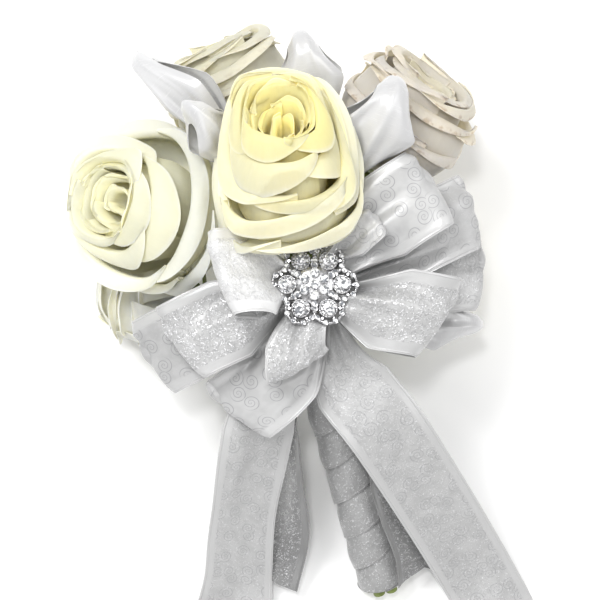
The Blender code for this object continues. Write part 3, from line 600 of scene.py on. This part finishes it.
def through(knots, where):
    """Points on a smooth curve through the knots, at the places given from 0 to 1 in each column."""
    last = len(knots) - 1
    spot = np.clip(where, 0, 1) * last
    i = np.minimum(spot.astype(int), last - 1)
    t = (spot - i)[..., None]
    column = np.broadcast_to(np.arange(knots.shape[1]), i.shape)
    a, b = knots[np.maximum(i - 1, 0), column], knots[i, column]
    c, d = knots[i + 1, column], knots[np.minimum(i + 2, last), column]
    return curved(a, b, c, d, t)


def petal_knots(ring, degrees, tilt, openness):
    """A petal's profile in each column: knots from the seat over the belly and crest to the edge."""
    _, _, belly_r, belly_z, crest, edge, _, _ = ring
    front = np.clip((np.cos(np.radians(degrees - 90)) + 0.8) / 1.2, 0, 1)
    front = front * front * (3 - 2 * front) * openness

    def between(ahead, behind):
        """A value between the one in front of the bloom and the one behind."""
        return behind + (ahead - behind) * front

    across = np.linspace(-1, 1, PETAL_COLS)
    ends = np.abs(across) ** 3
    low = between(*belly_z)
    crest_r = between(crest[0], crest[2])
    crest_z = between(crest[1], crest[3]) + tilt
    out = (between(edge[0], edge[2]) - crest_r) * (1 - 0.35 * ends)
    drop = (crest_z - between(edge[1], edge[3]) - tilt) * (1 - 0.3 * ends)
    seat_z = 8 - 0.16 * belly_r
    knots = (
        (SEAT_RADIUS, seat_z),
        (SEAT_RADIUS + 0.64 * (belly_r - SEAT_RADIUS), seat_z + 0.24 * (low - seat_z)),
        (belly_r, low),
        (crest_r - 0.12 * out - 0.6, low + 0.72 * (crest_z - low)),
        (crest_r, crest_z),
        (crest_r + 0.42 * out, crest_z + 0.03 * out - 0.13 * drop),
        (crest_r + 0.78 * out, crest_z - 0.48 * drop),
        (crest_r + out, crest_z - drop),
    )
    return np.array([np.stack(np.broadcast_arrays(r, z, across)[:2], axis=-1) for r, z in knots])


def petal_grid(size, middle, ring, openness, lean, chance):
    """The points of one petal round +Z, with its map and colour numbers."""
    belly_r, waves, yellow = ring[2], ring[6], ring[7]
    half = ring[1] * chance.uniform(0.9, 1.05)
    across = np.linspace(-1, 1, PETAL_COLS)
    v, u = np.meshgrid(np.linspace(0, 1, PETAL_ROWS), across, indexing="ij")
    slope = 2.4 + chance.uniform(-0.8, 0.8)
    tilt = (slope * across + chance.uniform(-1, 1)) * (belly_r / 28 + 0.2)
    tilt += 0.1 * belly_r * np.cos(np.radians(middle + half * across - lean))
    bent = u + chance.uniform(-0.3, 0.3)
    arch = 0.1 * np.abs(u) ** 3.5 + 0.17 * np.clip(belly_r / 15, 0, 1) * np.abs(u) ** 1.3
    dent = 0.012 * waves * (1 - np.exp(-(bent / 0.35) ** 2))
    reach = v * (1 - v * (arch + dent))
    profile = through(petal_knots(ring, middle + half * across, tilt, openness), reach)
    along = unit(np.gradient(profile, axis=0))
    spread = 0.55 + 0.45 * np.sin(np.pi / 2 * np.minimum(1, reach / 0.4))
    angle = np.radians(middle + half * spread * u)
    wave = np.sin(u * chance.uniform(2.5, 5) + chance.uniform(0, 6))
    wave += 0.3 * np.sin(u * 11 + chance.uniform(0, 6))
    off = 0.9 * u + waves * wave * v ** 3
    off += 0.6 * waves * np.sin(u * 4 + 3 * v + chance.uniform(0, 6)) * v
    radius = profile[..., 0] + off * along[..., 1]
    height = profile[..., 1] - off * along[..., 0]
    radius = radius * (1 + 0.14 * np.cos(angle) ** 2 * np.clip(1 - radius / 36, 0, 1))
    radius = radius * (1 + 0.035 * np.sin(2 * angle + lean) + 0.02 * np.sin(3 * angle + 2 * lean))
    radius = radius * size[0]
    grid = np.stack([radius * np.cos(angle), radius * np.sin(angle), height * size[1]], axis=-1)
    uv = np.stack([u * 0.5 + 0.5 + chance.uniform(0, 9), v], axis=-1)
    tone = yellow * (1.05 - 0.35 * v) + 0.1 * chance.uniform(-1, 1)
    rim = np.maximum(v ** 10, np.abs(u) ** 20 * v)
    return grid, uv, np.clip(tone, 0, 1), rim


def rings_of(name):
    """The rings of petals that suit a bloom."""
    if name == "rose_left":
        return RINGS[:5] + RINGS[6:]
    openness = BLOOMS[name][4]
    return RINGS if openness > TALL_UP_TO else TALL_RINGS


def seat_of(name):
    """Where a bloom's petals spring from, and the way it faces."""
    belly, facing, size = BLOOMS[name][:3]
    facing = Vector(facing).normalized()
    seat = Vector(belly) - facing * BELLY_HEIGHT * size[1]
    seat.z += FLOOR_DROPS.get(name, 0)
    return seat, facing


def bloom(name, number):
    """A rose bloom of rings of petals, on its seat."""
    _, _, size, kind, openness, on_floor = BLOOMS[name]
    chance = np.random.default_rng(BLOOM_SEED + number)
    swing = chance.uniform(-25, 25) if number else 0
    petals = []
    for ring in rings_of(name):
        lean = chance.uniform(0, 360)
        for middle in ring[0]:
            middle += swing + chance.uniform(-6, 6)
            grid, uv, tone, edge = petal_grid(size, middle, ring, openness, lean, chance)
            petals.append(shell(grid, PETAL_THICKNESS, uv, tone=tone, edge=edge))
    piece = join(petals)
    points = piece["points"]
    if name == "rose_front":
        # The bow presses the lowest petals in
        past = np.maximum(points[:, 1] - PRESSED_FROM, 0)
        points[:, 1] -= past * PRESSED_SHARE
    seat, facing = seat_of(name)
    points = points @ np.array(turned_to(facing)).T + np.array(seat)
    if on_floor:
        low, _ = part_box(name)
        FLOOR_DROPS[name] = low[2] / MM + FLOOR_GAP - points[:, 2].min()
        points[:, 2] += FLOOR_DROPS[name]
    piece["points"] = points
    build(name + "_detail", piece, petal_looks[kind])


# Ribbons


def smooth_line(knots, per_span):
    """A smooth curve through the knots."""
    line = []
    for i in range(len(knots) - 1):
        a, b = knots[max(i - 1, 0)], knots[i]
        c, d = knots[i + 1], knots[min(i + 2, len(knots) - 1)]
        line += [curved(a, b, c, d, k / per_span) for k in range(per_span)]
    line.append(knots[-1].copy())
    return line


def loop_line(foot, middle, bend, foot_across, across, width, gap):
    """The centreline of a loop out to its bend and back, the way across it and how far out it is."""
    across = across.normalized()
    foot_across = foot_across.normalized()
    if foot_across.dot(across) < 0:
        foot_across = -foot_across
    centres, widths, shares = [], [], []
    lift = Vector((0, 0, 1))
    for k in range(LOOP_STEPS + 1):
        turn = 2 * math.pi * k / LOOP_STEPS
        share = (1 - math.cos(turn)) / 2
        side = 1 if k <= LOOP_STEPS / 2 else -1
        rise = 0.9 * abs(math.cos(turn / 2)) * side
        rise += gap / 2 * 1.55 * math.sin(turn) * share
        s = 1 - share
        spine = foot * s * s + middle * 2 * s * share + bend * share * share
        heading = (middle - foot) * s + (bend - middle) * share
        here = foot_across.lerp(across, min(1, share / 0.7)).normalized()
        up = here.cross(heading).normalized()
        lift = -up if up.dot(lift) < 0 else up
        centres.append(spine + lift * rise)
        widths.append(here * width / 2 * (0.22 + 0.78 * min(1, share / 0.6)))
        shares.append(share)
    return centres, widths, shares


def bow_foot(height, degrees):
    """A place on the side of the bow's centre, and the direction round it there."""
    side = Vector((1, 0, 0))
    side = (side - BOW_FACING * side.dot(BOW_FACING)).normalized()
    forth = BOW_FACING.cross(side)
    turn = math.radians(degrees)
    out = side * math.cos(turn) + forth * math.sin(turn)
    place = BOW_CENTRE + BOW_FACING * height + out * (BOW_CORE_RADIUS + CLEARANCE)
    return place, BOW_FACING.cross(out)


def off_the_face(line, ahead, half):
    """The way off a ribbon's face at each of its points: outwards on a loop, upwards on a tail."""
    off = unit(np.cross(ahead, half))
    quarter = len(line) // 4
    outward = np.array((0, 0, 1.0))
    if np.linalg.norm(line[0] - line[-1]) < LOOP_FEET_APART:
        outward = line[quarter] - line[-1 - quarter]
    return -off if off[quarter] @ outward < 0 else off


def folded(u, run, pleat, folds, lengthwise, phase):
    """How far each point stands off the face: pleats at the foot, creases and waves further out."""
    spread = 1 - pleat
    shape = 1.9 * pleat ** 0.7 * np.sin(u * 8.5 + phase)
    creases = np.sin(u * 4.6 + 2 * phase) + 0.7 * (1 - 2 * np.abs(np.sin(u * 3.7 + phase)))
    shape = shape + folds * np.clip(1.15 - spread, 0, 1) ** 0.6 * np.clip(spread * 3, 0, 1) * creases
    ripple = np.sin(run / 7 + phase) * np.sin(u * 2.6 + phase)
    shape = shape + 0.6 * folds * np.sin(np.pi * spread) * ripple
    shape = shape + spread * lengthwise * np.sin(u * 2.9 + phase + run / 50)
    shape = shape + spread * 0.6 * np.sin(run / 9 + phase + 2 * u) * np.abs(u) ** 3
    return shape + spread * 0.5 * np.sin(run / 14 + 3 * u + 2 * phase)


def ribbon(name, centres, widths, pleat, bulge, width, look, sparkle, chance, folds, **form):
    """A ribbon along a centreline, pleated where pleat is near 1 and curved across by bulge, in mm.
    Its form may have lengthwise folds, a bend drawn in at its two edges, and a notched end."""
    notch = form.get("notch", 0)
    line = np.array([tuple(c) for c in centres])
    half = np.array([tuple(w) for w in widths])
    lengths = np.linalg.norm(np.diff(line, axis=0), axis=1)
    run = np.concatenate([[0], np.cumsum(lengths)])[:, None]
    ahead = np.gradient(line, axis=0)
    off = off_the_face(line, ahead, half)
    u = np.linspace(-1, 1, RIBBON_COLS)[None, :]
    grid = line[:, None] + half[:, None] * u[..., None]
    if notch:
        back = np.clip(1 - (run[-1] - run) / (2 * notch), 0, 1) * notch * (1 - np.abs(u))
        grid -= unit(ahead)[:, None] * back[..., None]
    pleat = np.array(pleat)[:, None]
    bulge = np.broadcast_to(bulge, len(line))[:, None]
    shape = folded(u, run, pleat, folds, form.get("lengthwise", 0), chance.uniform(0, 6))
    up = np.clip(off[:, 2:] * 3, -1, 1)
    grid += off[:, None] * (shape * up + bulge * (1 - u ** 2))[..., None]
    middle = len(line) // 2
    rounded = form.get("bend", 0) * (1 - pleat) ** 2 * np.abs(u) ** 2.5
    grid -= unit(line[middle] - line[middle // 2]) * rounded[..., None]
    grid[..., 2] = np.maximum(grid[..., 2], RIBBON_LOWEST)
    uv = np.stack(np.broadcast_arrays(u * width / 20, run / 10 + chance.uniform(0, 40)), axis=-1)
    # Painted shade: darkest in the pleats near the foot and in the creases that fold inward
    deep = pleat ** 1.5 * np.clip(0.7 - 0.25 * shape, 0, 1)
    piece = shell(grid, RIBBON_THICKNESS, uv, sparkle=sparkle, wire=width / 20 - 0.1, deep=deep)
    made = build(name + "_detail", piece, look)


def bow_loops():
    """The loops of the bow."""
    for number, (name, given) in enumerate(BOW_LOOPS.items()):
        height, degrees, middle, bend, across, width, gap, sparkle = given
        chance = np.random.default_rng(LOOP_SEED + number)
        foot, round_it = bow_foot(height, degrees)
        knots = (foot, Vector(middle), Vector(bend), round_it, Vector(across))
        centres, widths, shares = loop_line(*knots, width, gap * 1.1)
        pleat = [max(0, 1 - share / 0.8) for share in shares]
        bulge = [4.5 * math.sin(math.pi * min(1, share * 1.1)) for share in shares]
        # Painted light: the front left loop gets a lighter copy of the same ribbon, where light falls
        # full on it
        look = bright if name == "bow_loop_left_front" else printed
        ribbon(name, centres, widths, pleat, bulge, width, look, sparkle, chance, 3.0, bend=3.5)


def satin_loops():
    """The white satin loops among the blooms, pinched where they bend."""
    for number, (name, given) in enumerate(SATIN_LOOPS.items()):
        width, gap = given[5:]
        chance = np.random.default_rng(SATIN_SEED + number)
        centres, widths, shares = loop_line(*(Vector(p) for p in given[:5]), width, gap)
        pleat = [max(0, 1 - share / 0.9) for share in shares]
        for i, share in enumerate(shares):
            pinch = 1 - 0.5 * max(0, share - 0.4) / 0.6
            pinch *= 1 + 0.5 * math.sin(math.pi * share) ** 2
            widths[i] = widths[i] * min(1.1, pinch)
        bulge = [1 + 5 * share for share in shares]
        ribbon(name, centres, widths, pleat, bulge, width, satin, 0, chance, 2.0, bend=3)


def tails():
    """The ribbon ends that hang from the bow and lie on the surface."""
    for number, (name, (foot, line, across, notch, sparkle)) in enumerate(TAILS.items()):
        chance = np.random.default_rng(TAIL_SEED + number)
        knots = [Vector(p) for p in line]
        directions = [Vector(p).normalized() for p in across]
        if foot:
            place, round_it = bow_foot(*foot)
            knots.insert(0, place)
            directions.insert(0, round_it if round_it.dot(directions[0]) > 0 else -round_it)
        centres = smooth_line(knots, TAIL_STEPS)
        widths, pleat = [], []
        for i, direction in enumerate(smooth_line(directions, TAIL_STEPS)):
            share = min(1, i / (2 * TAIL_STEPS))
            widths.append(direction.normalized() * RIBBON_WIDTH / 2 * (0.18 + 0.82 * share))
            centres[i].z = max(centres[i].z, abs(widths[i].z) + TAIL_LOWEST)
            pleat.append(1 - share)
        # Painted shade: the back tails, which lie in shade, get a darker copy of the same ribbon
        look = printed if foot else shaded
        form = {"lengthwise": 1.7, "notch": notch}
        ribbon(name, centres, widths, pleat, 0.8, RIBBON_WIDTH, look, sparkle, chance, 0.9, **form)


# Handle and stems


def handle_axes():
    """The way up the handle, and two directions across it: to the front and to the side."""
    up = (NECK - CUT_END).normalized()
    front = (Vector((0, 0, 1)) - up * up.z).normalized()
    side = front.cross(up)
    return up, front, side * (1 if side.x > 0 else -1)


def wound(name, start, length, inner, outer, pitch, width, look, slot, chance):
    """A strip wound round the stems, its lower edge over the turn before."""
    up, front, side = (np.array(axis) for axis in handle_axes())
    q = np.linspace(0, 1, 13)[None, :]
    turned = np.arange(int((length + width) / pitch * WRAP_STEPS))[:, None] / WRAP_STEPS
    drift = 0.9 * np.sin(turned * 2.1 + chance.uniform(0, 6)) + 2.2 * np.sin(turned * 2 * np.pi + 0.6)
    level = turned * pitch - width + q * width + drift
    inside = np.clip(level, 0, length)
    crease = 0.16 * np.sin(turned * 60 + 5 * q) * np.sin(np.pi * q) + 0.25 * np.sin(turned * 17 + 9 * q)
    domed = np.sin(np.pi * np.minimum(0.12 + q, 1)) ** 0.7
    radius = inner + (outer - inner) * ((1 - q) * 0.4 + 0.6 * domed) + crease
    angle = 2 * np.pi * turned
    out = front * np.cos(angle)[..., None] + side * np.sin(angle)[..., None]
    grid = np.array(start) + up * inside[..., None] + out * radius[..., None]
    run = turned * 2 * np.pi * (inner + outer) / 20
    uv = np.stack(np.broadcast_arrays((q - 0.5) * width / 10, run), axis=-1)
    piece = shell(grid, WRAP_THICKNESS, uv, sparkle=0.45, wire=width / 20 - 0.08)
    made = build(name + "_detail", piece, look)


def handle():
    """The ribbon wound round the stems, and the tape above it."""
    up, _, _ = handle_axes()
    length = (NECK - CUT_END).length - TAPE_LENGTH
    chance = np.random.default_rng(HANDLE_SEED)
    wrap = (length, 11.4, 13.5, length / WRAP_BANDS, 24.5)
    wound("handle_ribbon_wrap", CUT_END, *wrap, wrap_look, RIBBON_SLOT, chance)
    top = CUT_END + up * (length + CLEARANCE)
    binding = (TAPE_LENGTH - CLEARANCE, 10.9, 11.7, 8, 11)
    wound("binding_tape", top, *binding, tape, "stem_green", chance)


def wall(rings, sides):
    """The faces of a tube of rings of points."""
    faces = []
    for i in range(rings - 1):
        for k in range(sides):
            a, b = i * sides + k, i * sides + (k + 1) % sides
            faces.append((a, b, b + sides, a + sides))
    return faces


def caps(rings, sides):
    """The faces that close a tube round the two points that come after its rings."""
    last = (rings - 1) * sides
    low, high = rings * sides, rings * sides + 1
    faces = []
    for k in range(sides):
        faces.append(((k + 1) % sides, k, low, low))
        faces.append((last + k, last + (k + 1) % sides, high, high))
    return faces


def tube(path, radii):
    """A closed round tube along a path. Its first end is cut, and shows the pale pith."""
    points, uv = [], []
    across = (path[1] - path[0]).orthogonal().normalized()
    run = 0.0
    for i, here in enumerate(path):
        tangent = (path[min(i + 1, len(path) - 1)] - path[max(i - 1, 0)]).normalized()
        across = (across - tangent * across.dot(tangent)).normalized()
        beside = tangent.cross(across)
        run += (here - path[max(i - 1, 0)]).length
        for k in range(STEM_SIDES):
            turn = 2 * math.pi * k / STEM_SIDES
            points.append(here + (across * math.cos(turn) + beside * math.sin(turn)) * radii[i])
            uv.append((k / STEM_SIDES, run / 10))
    points += [path[0], path[-1]]
    uv += [(0.5, 0), (0.5, 0)]
    cut = np.zeros(len(points))
    cut[-2] = 1
    return {
        "points": np.array([tuple(p) for p in points]),
        "faces": np.array(wall(len(path), STEM_SIDES) + caps(len(path), STEM_SIDES)),
        "uv": np.array(uv),
        "cut": cut,
    }


def bezier(a, b, c, d, t):
    """A point on the cubic curve with the ends a and d and the handles b and c."""
    s = 1 - t
    return a * s ** 3 + b * 3 * s * s * t + c * 3 * s * t * t + d * t ** 3


def stem_line(slot, end, facing, neck_bend, bloom_bend):
    """A stem's path and radii, from its cut end through the handle to the hip under its bloom."""
    up, _, _ = handle_axes()
    start = CUT_END + slot
    neck = NECK + slot
    hip = end - facing * HIP[0][0]
    span = (hip - neck).length
    leave = neck + up * span * neck_bend
    path = [start - up * STEM_SHOWS, start]
    path += [start.lerp(neck, k / 4) for k in range(1, 4)]
    radii = [STEM_RADIUS] * len(path)
    for t in (k / 24 for k in range(25)):
        path.append(bezier(neck, leave, hip - facing * span * bloom_bend, hip, t))
        radii.append(STEM_RADIUS - STEM_TAPER * t)
    for back, radius in HIP[1:]:
        path.append(end - facing * back)
        radii.append(radius)
    return path, radii


def stems():
    """The stems with their hips and sepals."""
    _, front, side = handle_axes()
    for name, (degrees, neck_bend, bloom_bend) in STEMS.items():
        slot = Vector((0, 0, 0))
        if degrees is not None:
            turn = math.radians(degrees)
            slot = (front * math.cos(turn) + side * math.sin(turn)) * STEM_PITCH
        seat, facing = seat_of(name)
        end = seat - facing * CLEARANCE
        pieces = [tube(*stem_line(slot, end, facing, neck_bend, bloom_bend))]
        turned = np.array(turned_to(facing))
        pieces += [sepal(np.array(end), turned, 72 * k + 51) for k in range(5)]
        build("stem_" + name + "_detail", join(pieces), stem_green)


def sepal(seat, turned, degrees):
    """A narrow pointed sepal, curved under the petals."""
    v, u = np.meshgrid(np.linspace(0, 1, 12), np.linspace(-1, 1, 7), indexing="ij")
    out = 4 + 15 * v
    rise = -2.9 + 1.2 * v + 3.6 * v ** 2
    half = 2.7 * (1 - v ** 2.2) + 0.15 + 0.6 * np.sin(np.pi * v)
    local = np.stack([out, u * half, rise - 0.5 * (1 - u ** 2)], axis=-1)
    turn = np.array(Matrix.Rotation(math.radians(degrees), 3, "Z"))
    grid = local @ turn.T @ turned.T + seat
    return shell(grid, SEPAL_THICKNESS, np.stack([u, v], axis=-1), cut=0)


# Brooch and bow centre


def circles(radii, heights, angle):
    """Rings of points about +Z. Each radius is a number, or one for every angle."""
    rings = []
    for radius, height in zip(radii, heights):
        x, y = radius * np.cos(angle), radius * np.sin(angle)
        rings.append(np.stack([x, y, np.full(len(angle), float(height))], axis=-1))
    return np.array(rings)


def lathe(profile, sides, place, turn=0.0):
    """A body turned about +Z from (radius, height) pairs, set at a place on the brooch."""
    angle = 2 * np.pi * np.arange(sides) / sides + turn
    radii, heights = zip(*profile)
    points = circles(radii, heights, angle).reshape(-1, 3)
    points = np.concatenate([points, [[0, 0, heights[0]], [0, 0, heights[-1]]]])
    faces = np.array(wall(len(profile), sides) + caps(len(profile), sides))
    return {"points": points + np.array(place), "faces": faces, "uv": points[:, :2] / 10}


def wrapped(rows, cols):
    """The faces of a grid of points that is closed both ways."""
    index = np.arange(rows * cols).reshape(rows, cols)
    right, above = np.roll(index, -1, axis=0), np.roll(index, -1, axis=1)
    return np.stack([index, right, np.roll(right, -1, axis=1), above], axis=-1).reshape(-1, 4)


def hoop(radius, thickness, centre, sides, tube_sides=8, beads=0):
    """A ring about +Z, with beads if they are given."""
    turn = 2 * np.pi * np.arange(sides)[:, None] / sides
    round_it = 2 * np.pi * np.arange(tube_sides)[None, :] / tube_sides
    thick = thickness * (1 + (BEAD_DEPTH if beads else 0) * np.cos(turn * beads))
    out = radius + thick * np.cos(round_it)
    height = np.broadcast_to(thick * np.sin(round_it), out.shape)
    points = np.stack([out * np.cos(turn), out * np.sin(turn), height], axis=-1).reshape(-1, 3)
    faces = wrapped(sides, tube_sides)
    return {"points": points + np.array(centre), "faces": faces, "uv": points[:, :2] / 10}


def brilliant(r, place, sides, turn):
    """A cut stone: a flat table, two rows of crown facets and a short pavilion."""
    crown = ((r, 0.1), (r * 0.82, r * 0.34), (r * 0.52, r * 0.55))
    return lathe(((r * 0.35, -r * 0.86), (r * 0.98, -0.05)) + crown, sides, place, turn)


def around(count, radius, height, start=0.0, centre=(0, 0)):
    """Places round a circle."""
    turns = np.radians(start + 360 * np.arange(count) / count)
    x, y = centre
    return [(x + radius * math.cos(t), y + radius * math.sin(t), height) for t in turns]


def brooch_petal(turn, x, y):
    """One openwork petal's metal, and the places and radii of its small stones."""
    metal = [
        hoop(7.2, 0.9, (x, y, 1.3), 104, beads=26),
        hoop(4.2, 0.6, (x, y, 2.0), 72, beads=18),
        lathe(((4.4, 0.6), (4.4, 1.3), (2.2, 1.7)), 24, (x, y, 0)),
    ]
    small = [(*spot, 0.75) for spot in around(9, 3.3, 2.1, turn, (x, y))]
    for spoke in around(6, 5.7, 1.5, turn, (x, y)):
        metal.append(lathe(((0.9, -0.6), (1.1, 0.3), (0.7, 1.0)), 8, spoke))
    rim = [(*spot, 1.05) for spot in around(9, 7.0, 2.5, turn, (x, y))]
    small += [stone for stone in rim if math.hypot(*stone[:2]) > CENTRE_RADIUS]
    return metal, small


def cup(x, y, z):
    """The cup that holds one of the large stones, with its four claws."""
    metal = [lathe(((1.7, 0.9), (2.0, z - 2.4), (2.5, z - 1.2), (2.3, z - 0.4)), 16, (x, y, 0))]
    for claw in around(4, 2.25, z - 0.1, 20, (x, y)):
        metal.append(lathe(((0.4, -1.0), (0.42, 0.2), (0.2, 0.6)), 6, claw))
    return metal


def brooch():
    """The brooch: a domed back, openwork petals of beaded rings, cups and cut stones."""
    place = BOW_CENTRE + BOW_FACING * (BOW_CORE_HEIGHT / 2 + CLEARANCE)
    turned = np.array(turned_to(BOW_FACING))

    def placed(piece):
        """The piece on the bow's centre."""
        piece["points"] = piece["points"] @ turned.T + np.array(place)
        return piece

    metal = [lathe(((9.5, 0), (10.5, 0.8), (10.2, 1.5), (8.5, 2.4), (6, 3)), 48, (0, 0, 0))]
    small = []
    for turn, (x, y, _) in zip(range(0, 360, 60), around(6, 13.2, 0)):
        petal, stones_on_it = brooch_petal(turn, x, y)
        metal += petal
        small += stones_on_it
    for spot in around(6, 9.4, 4.4, 30):
        small.append((*spot, 1.45))
        metal.append(lathe(((1.2, 0.9), (1.6, 3.8)), 8, (spot[0], spot[1], 0)))
    large = [(0, 0, 6.4)] + around(6, 5.4, 5.6, 30) + around(6, 14.8, 4.7)
    for spot in large:
        metal += cup(*spot)
    for x, y, z, r in small:
        metal.append(hoop(r + 0.15, 0.28, (x, y, z - 0.1), 12, tube_sides=5))
    build("brooch_setting_detail", placed(join(metal)), silver)
    cut = [brilliant(r, (x, y, z), 8, x + y) for x, y, z, r in small]
    build("brooch_small_stones", placed(join(cut)), stones, "brooch_setting", smooth=False)
    for number, spot in enumerate(large):
        name = f"stone_{number + 1:02d}_detail"
        build(name, placed(brilliant(STONE_RADIUS, spot, 12, number)), stones, smooth=False)


def bow_knot():
    """The gathered satin at the bow's centre."""
    angle = 2 * np.pi * np.arange(96) / 96
    heights = (-11, -8, -3, 0, 3, 8, 11, 11, -11)
    radii = []
    for radius, height in zip((7.0, 6.8, 6.0, 5.8, 6.0, 6.8, 7.0), heights):
        radii.append(radius * (1 + 0.05 * np.sin(12 * angle + 0.2 * height) + 0.02 * np.sin(31 * angle)))
    grid = circles(radii + [1.2, 1.2], heights, angle)
    faces = wrapped(*grid.shape[:2])[:, [0, 3, 2, 1]]
    points = grid.reshape(-1, 3) @ np.array(turned_to(BOW_FACING)).T + np.array(BOW_CENTRE)
    uv = np.stack([np.tile(angle, len(grid)), grid[..., 2].ravel() / 10], axis=-1)
    piece = {"points": points, "faces": faces, "uv": uv}
    build("bow_centre_detail", piece, satin)


# Studio


def floor():
    """A plain pale floor."""
    bpy.ops.mesh.primitive_plane_add(size=6, location=(0, 0, -0.0005))
    plane = bpy.context.object
    plane.name = "floor"
    plane.data.materials.append(floor_material())


def light(name, place, size, power):
    """A soft area light aimed at the bouquet."""
    data = bpy.data.lights.new(name, "AREA")
    data.size = size
    data.energy = power
    made = bpy.data.objects.new(name, data)
    bpy.context.scene.collection.objects.link(made)
    made.location = place
    aim = LIGHTS_AIM - Vector(place)
    made.rotation_euler = aim.to_track_quat("-Z", "Y").to_euler()


def studio():
    """Camera above the object, soft light and the floor."""
    floor()
    for name, given in LIGHTS.items():
        light(name, *given)
    scene = bpy.context.scene
    scene.world = bpy.data.worlds.new("studio")
    scene.world.use_nodes = True
    background = scene.world.node_tree.nodes["Background"]
    background.inputs["Color"].default_value = (1, 1, 1, 1)
    background.inputs["Strength"].default_value = WORLD_LIGHT
    data = bpy.data.cameras.new("camera")
    data.lens = CAMERA_LENS
    data.sensor_width = 36
    camera = bpy.data.objects.new("camera", data)
    scene.collection.objects.link(camera)
    camera.location = (-ORIGIN[0] * MM, -ORIGIN[1] * MM, CAMERA_HEIGHT)
    scene.camera = camera
    scene.view_settings.view_transform = "Standard"


petal_looks = {kind: petal_material(kind) for kind in PETAL_COLOURS}
printed = ribbon_material("scroll_ribbon", 0.43, 0.9, 1.5)
# A lighter copy of the same ribbon: painted light for the front left loop
bright = ribbon_material("front_ribbon", 0.6, 0.5, 1.5)
# A darker copy of the same ribbon: painted shade for the back tails
shaded = ribbon_material("back_ribbon", 0.17, 0.4, 1.5)
satin = satin_material("white_satin_cloth", (0.55, 0.55, 0.555))
# The same ribbon wound round the handle: its darker grey is partly its own tone and partly painted shade
wrap_look = ribbon_material("wound_ribbon", 0.3, 0.1, 2.5)
tape = satin_material("floral_tape", (0.2, 0.26, 0.1))
stem_green = green_material("stem_skin", (0.1, 0.13, 0.03), (0.24, 0.3, 0.08))
silver = silver_material("old_silver")
stones = stone_material("cut_stones")

# How far each bloom that lies on the surface is moved up or down to meet it
FLOOR_DROPS = {}
for number, name in enumerate(BLOOMS):
    bloom(name, number)
bow_loops()
satin_loops()
tails()
handle()
stems()
brooch()
bow_knot()
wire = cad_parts["bow_wire"]
wire.data.materials.clear()
wire.data.materials.append(silver)
studio()
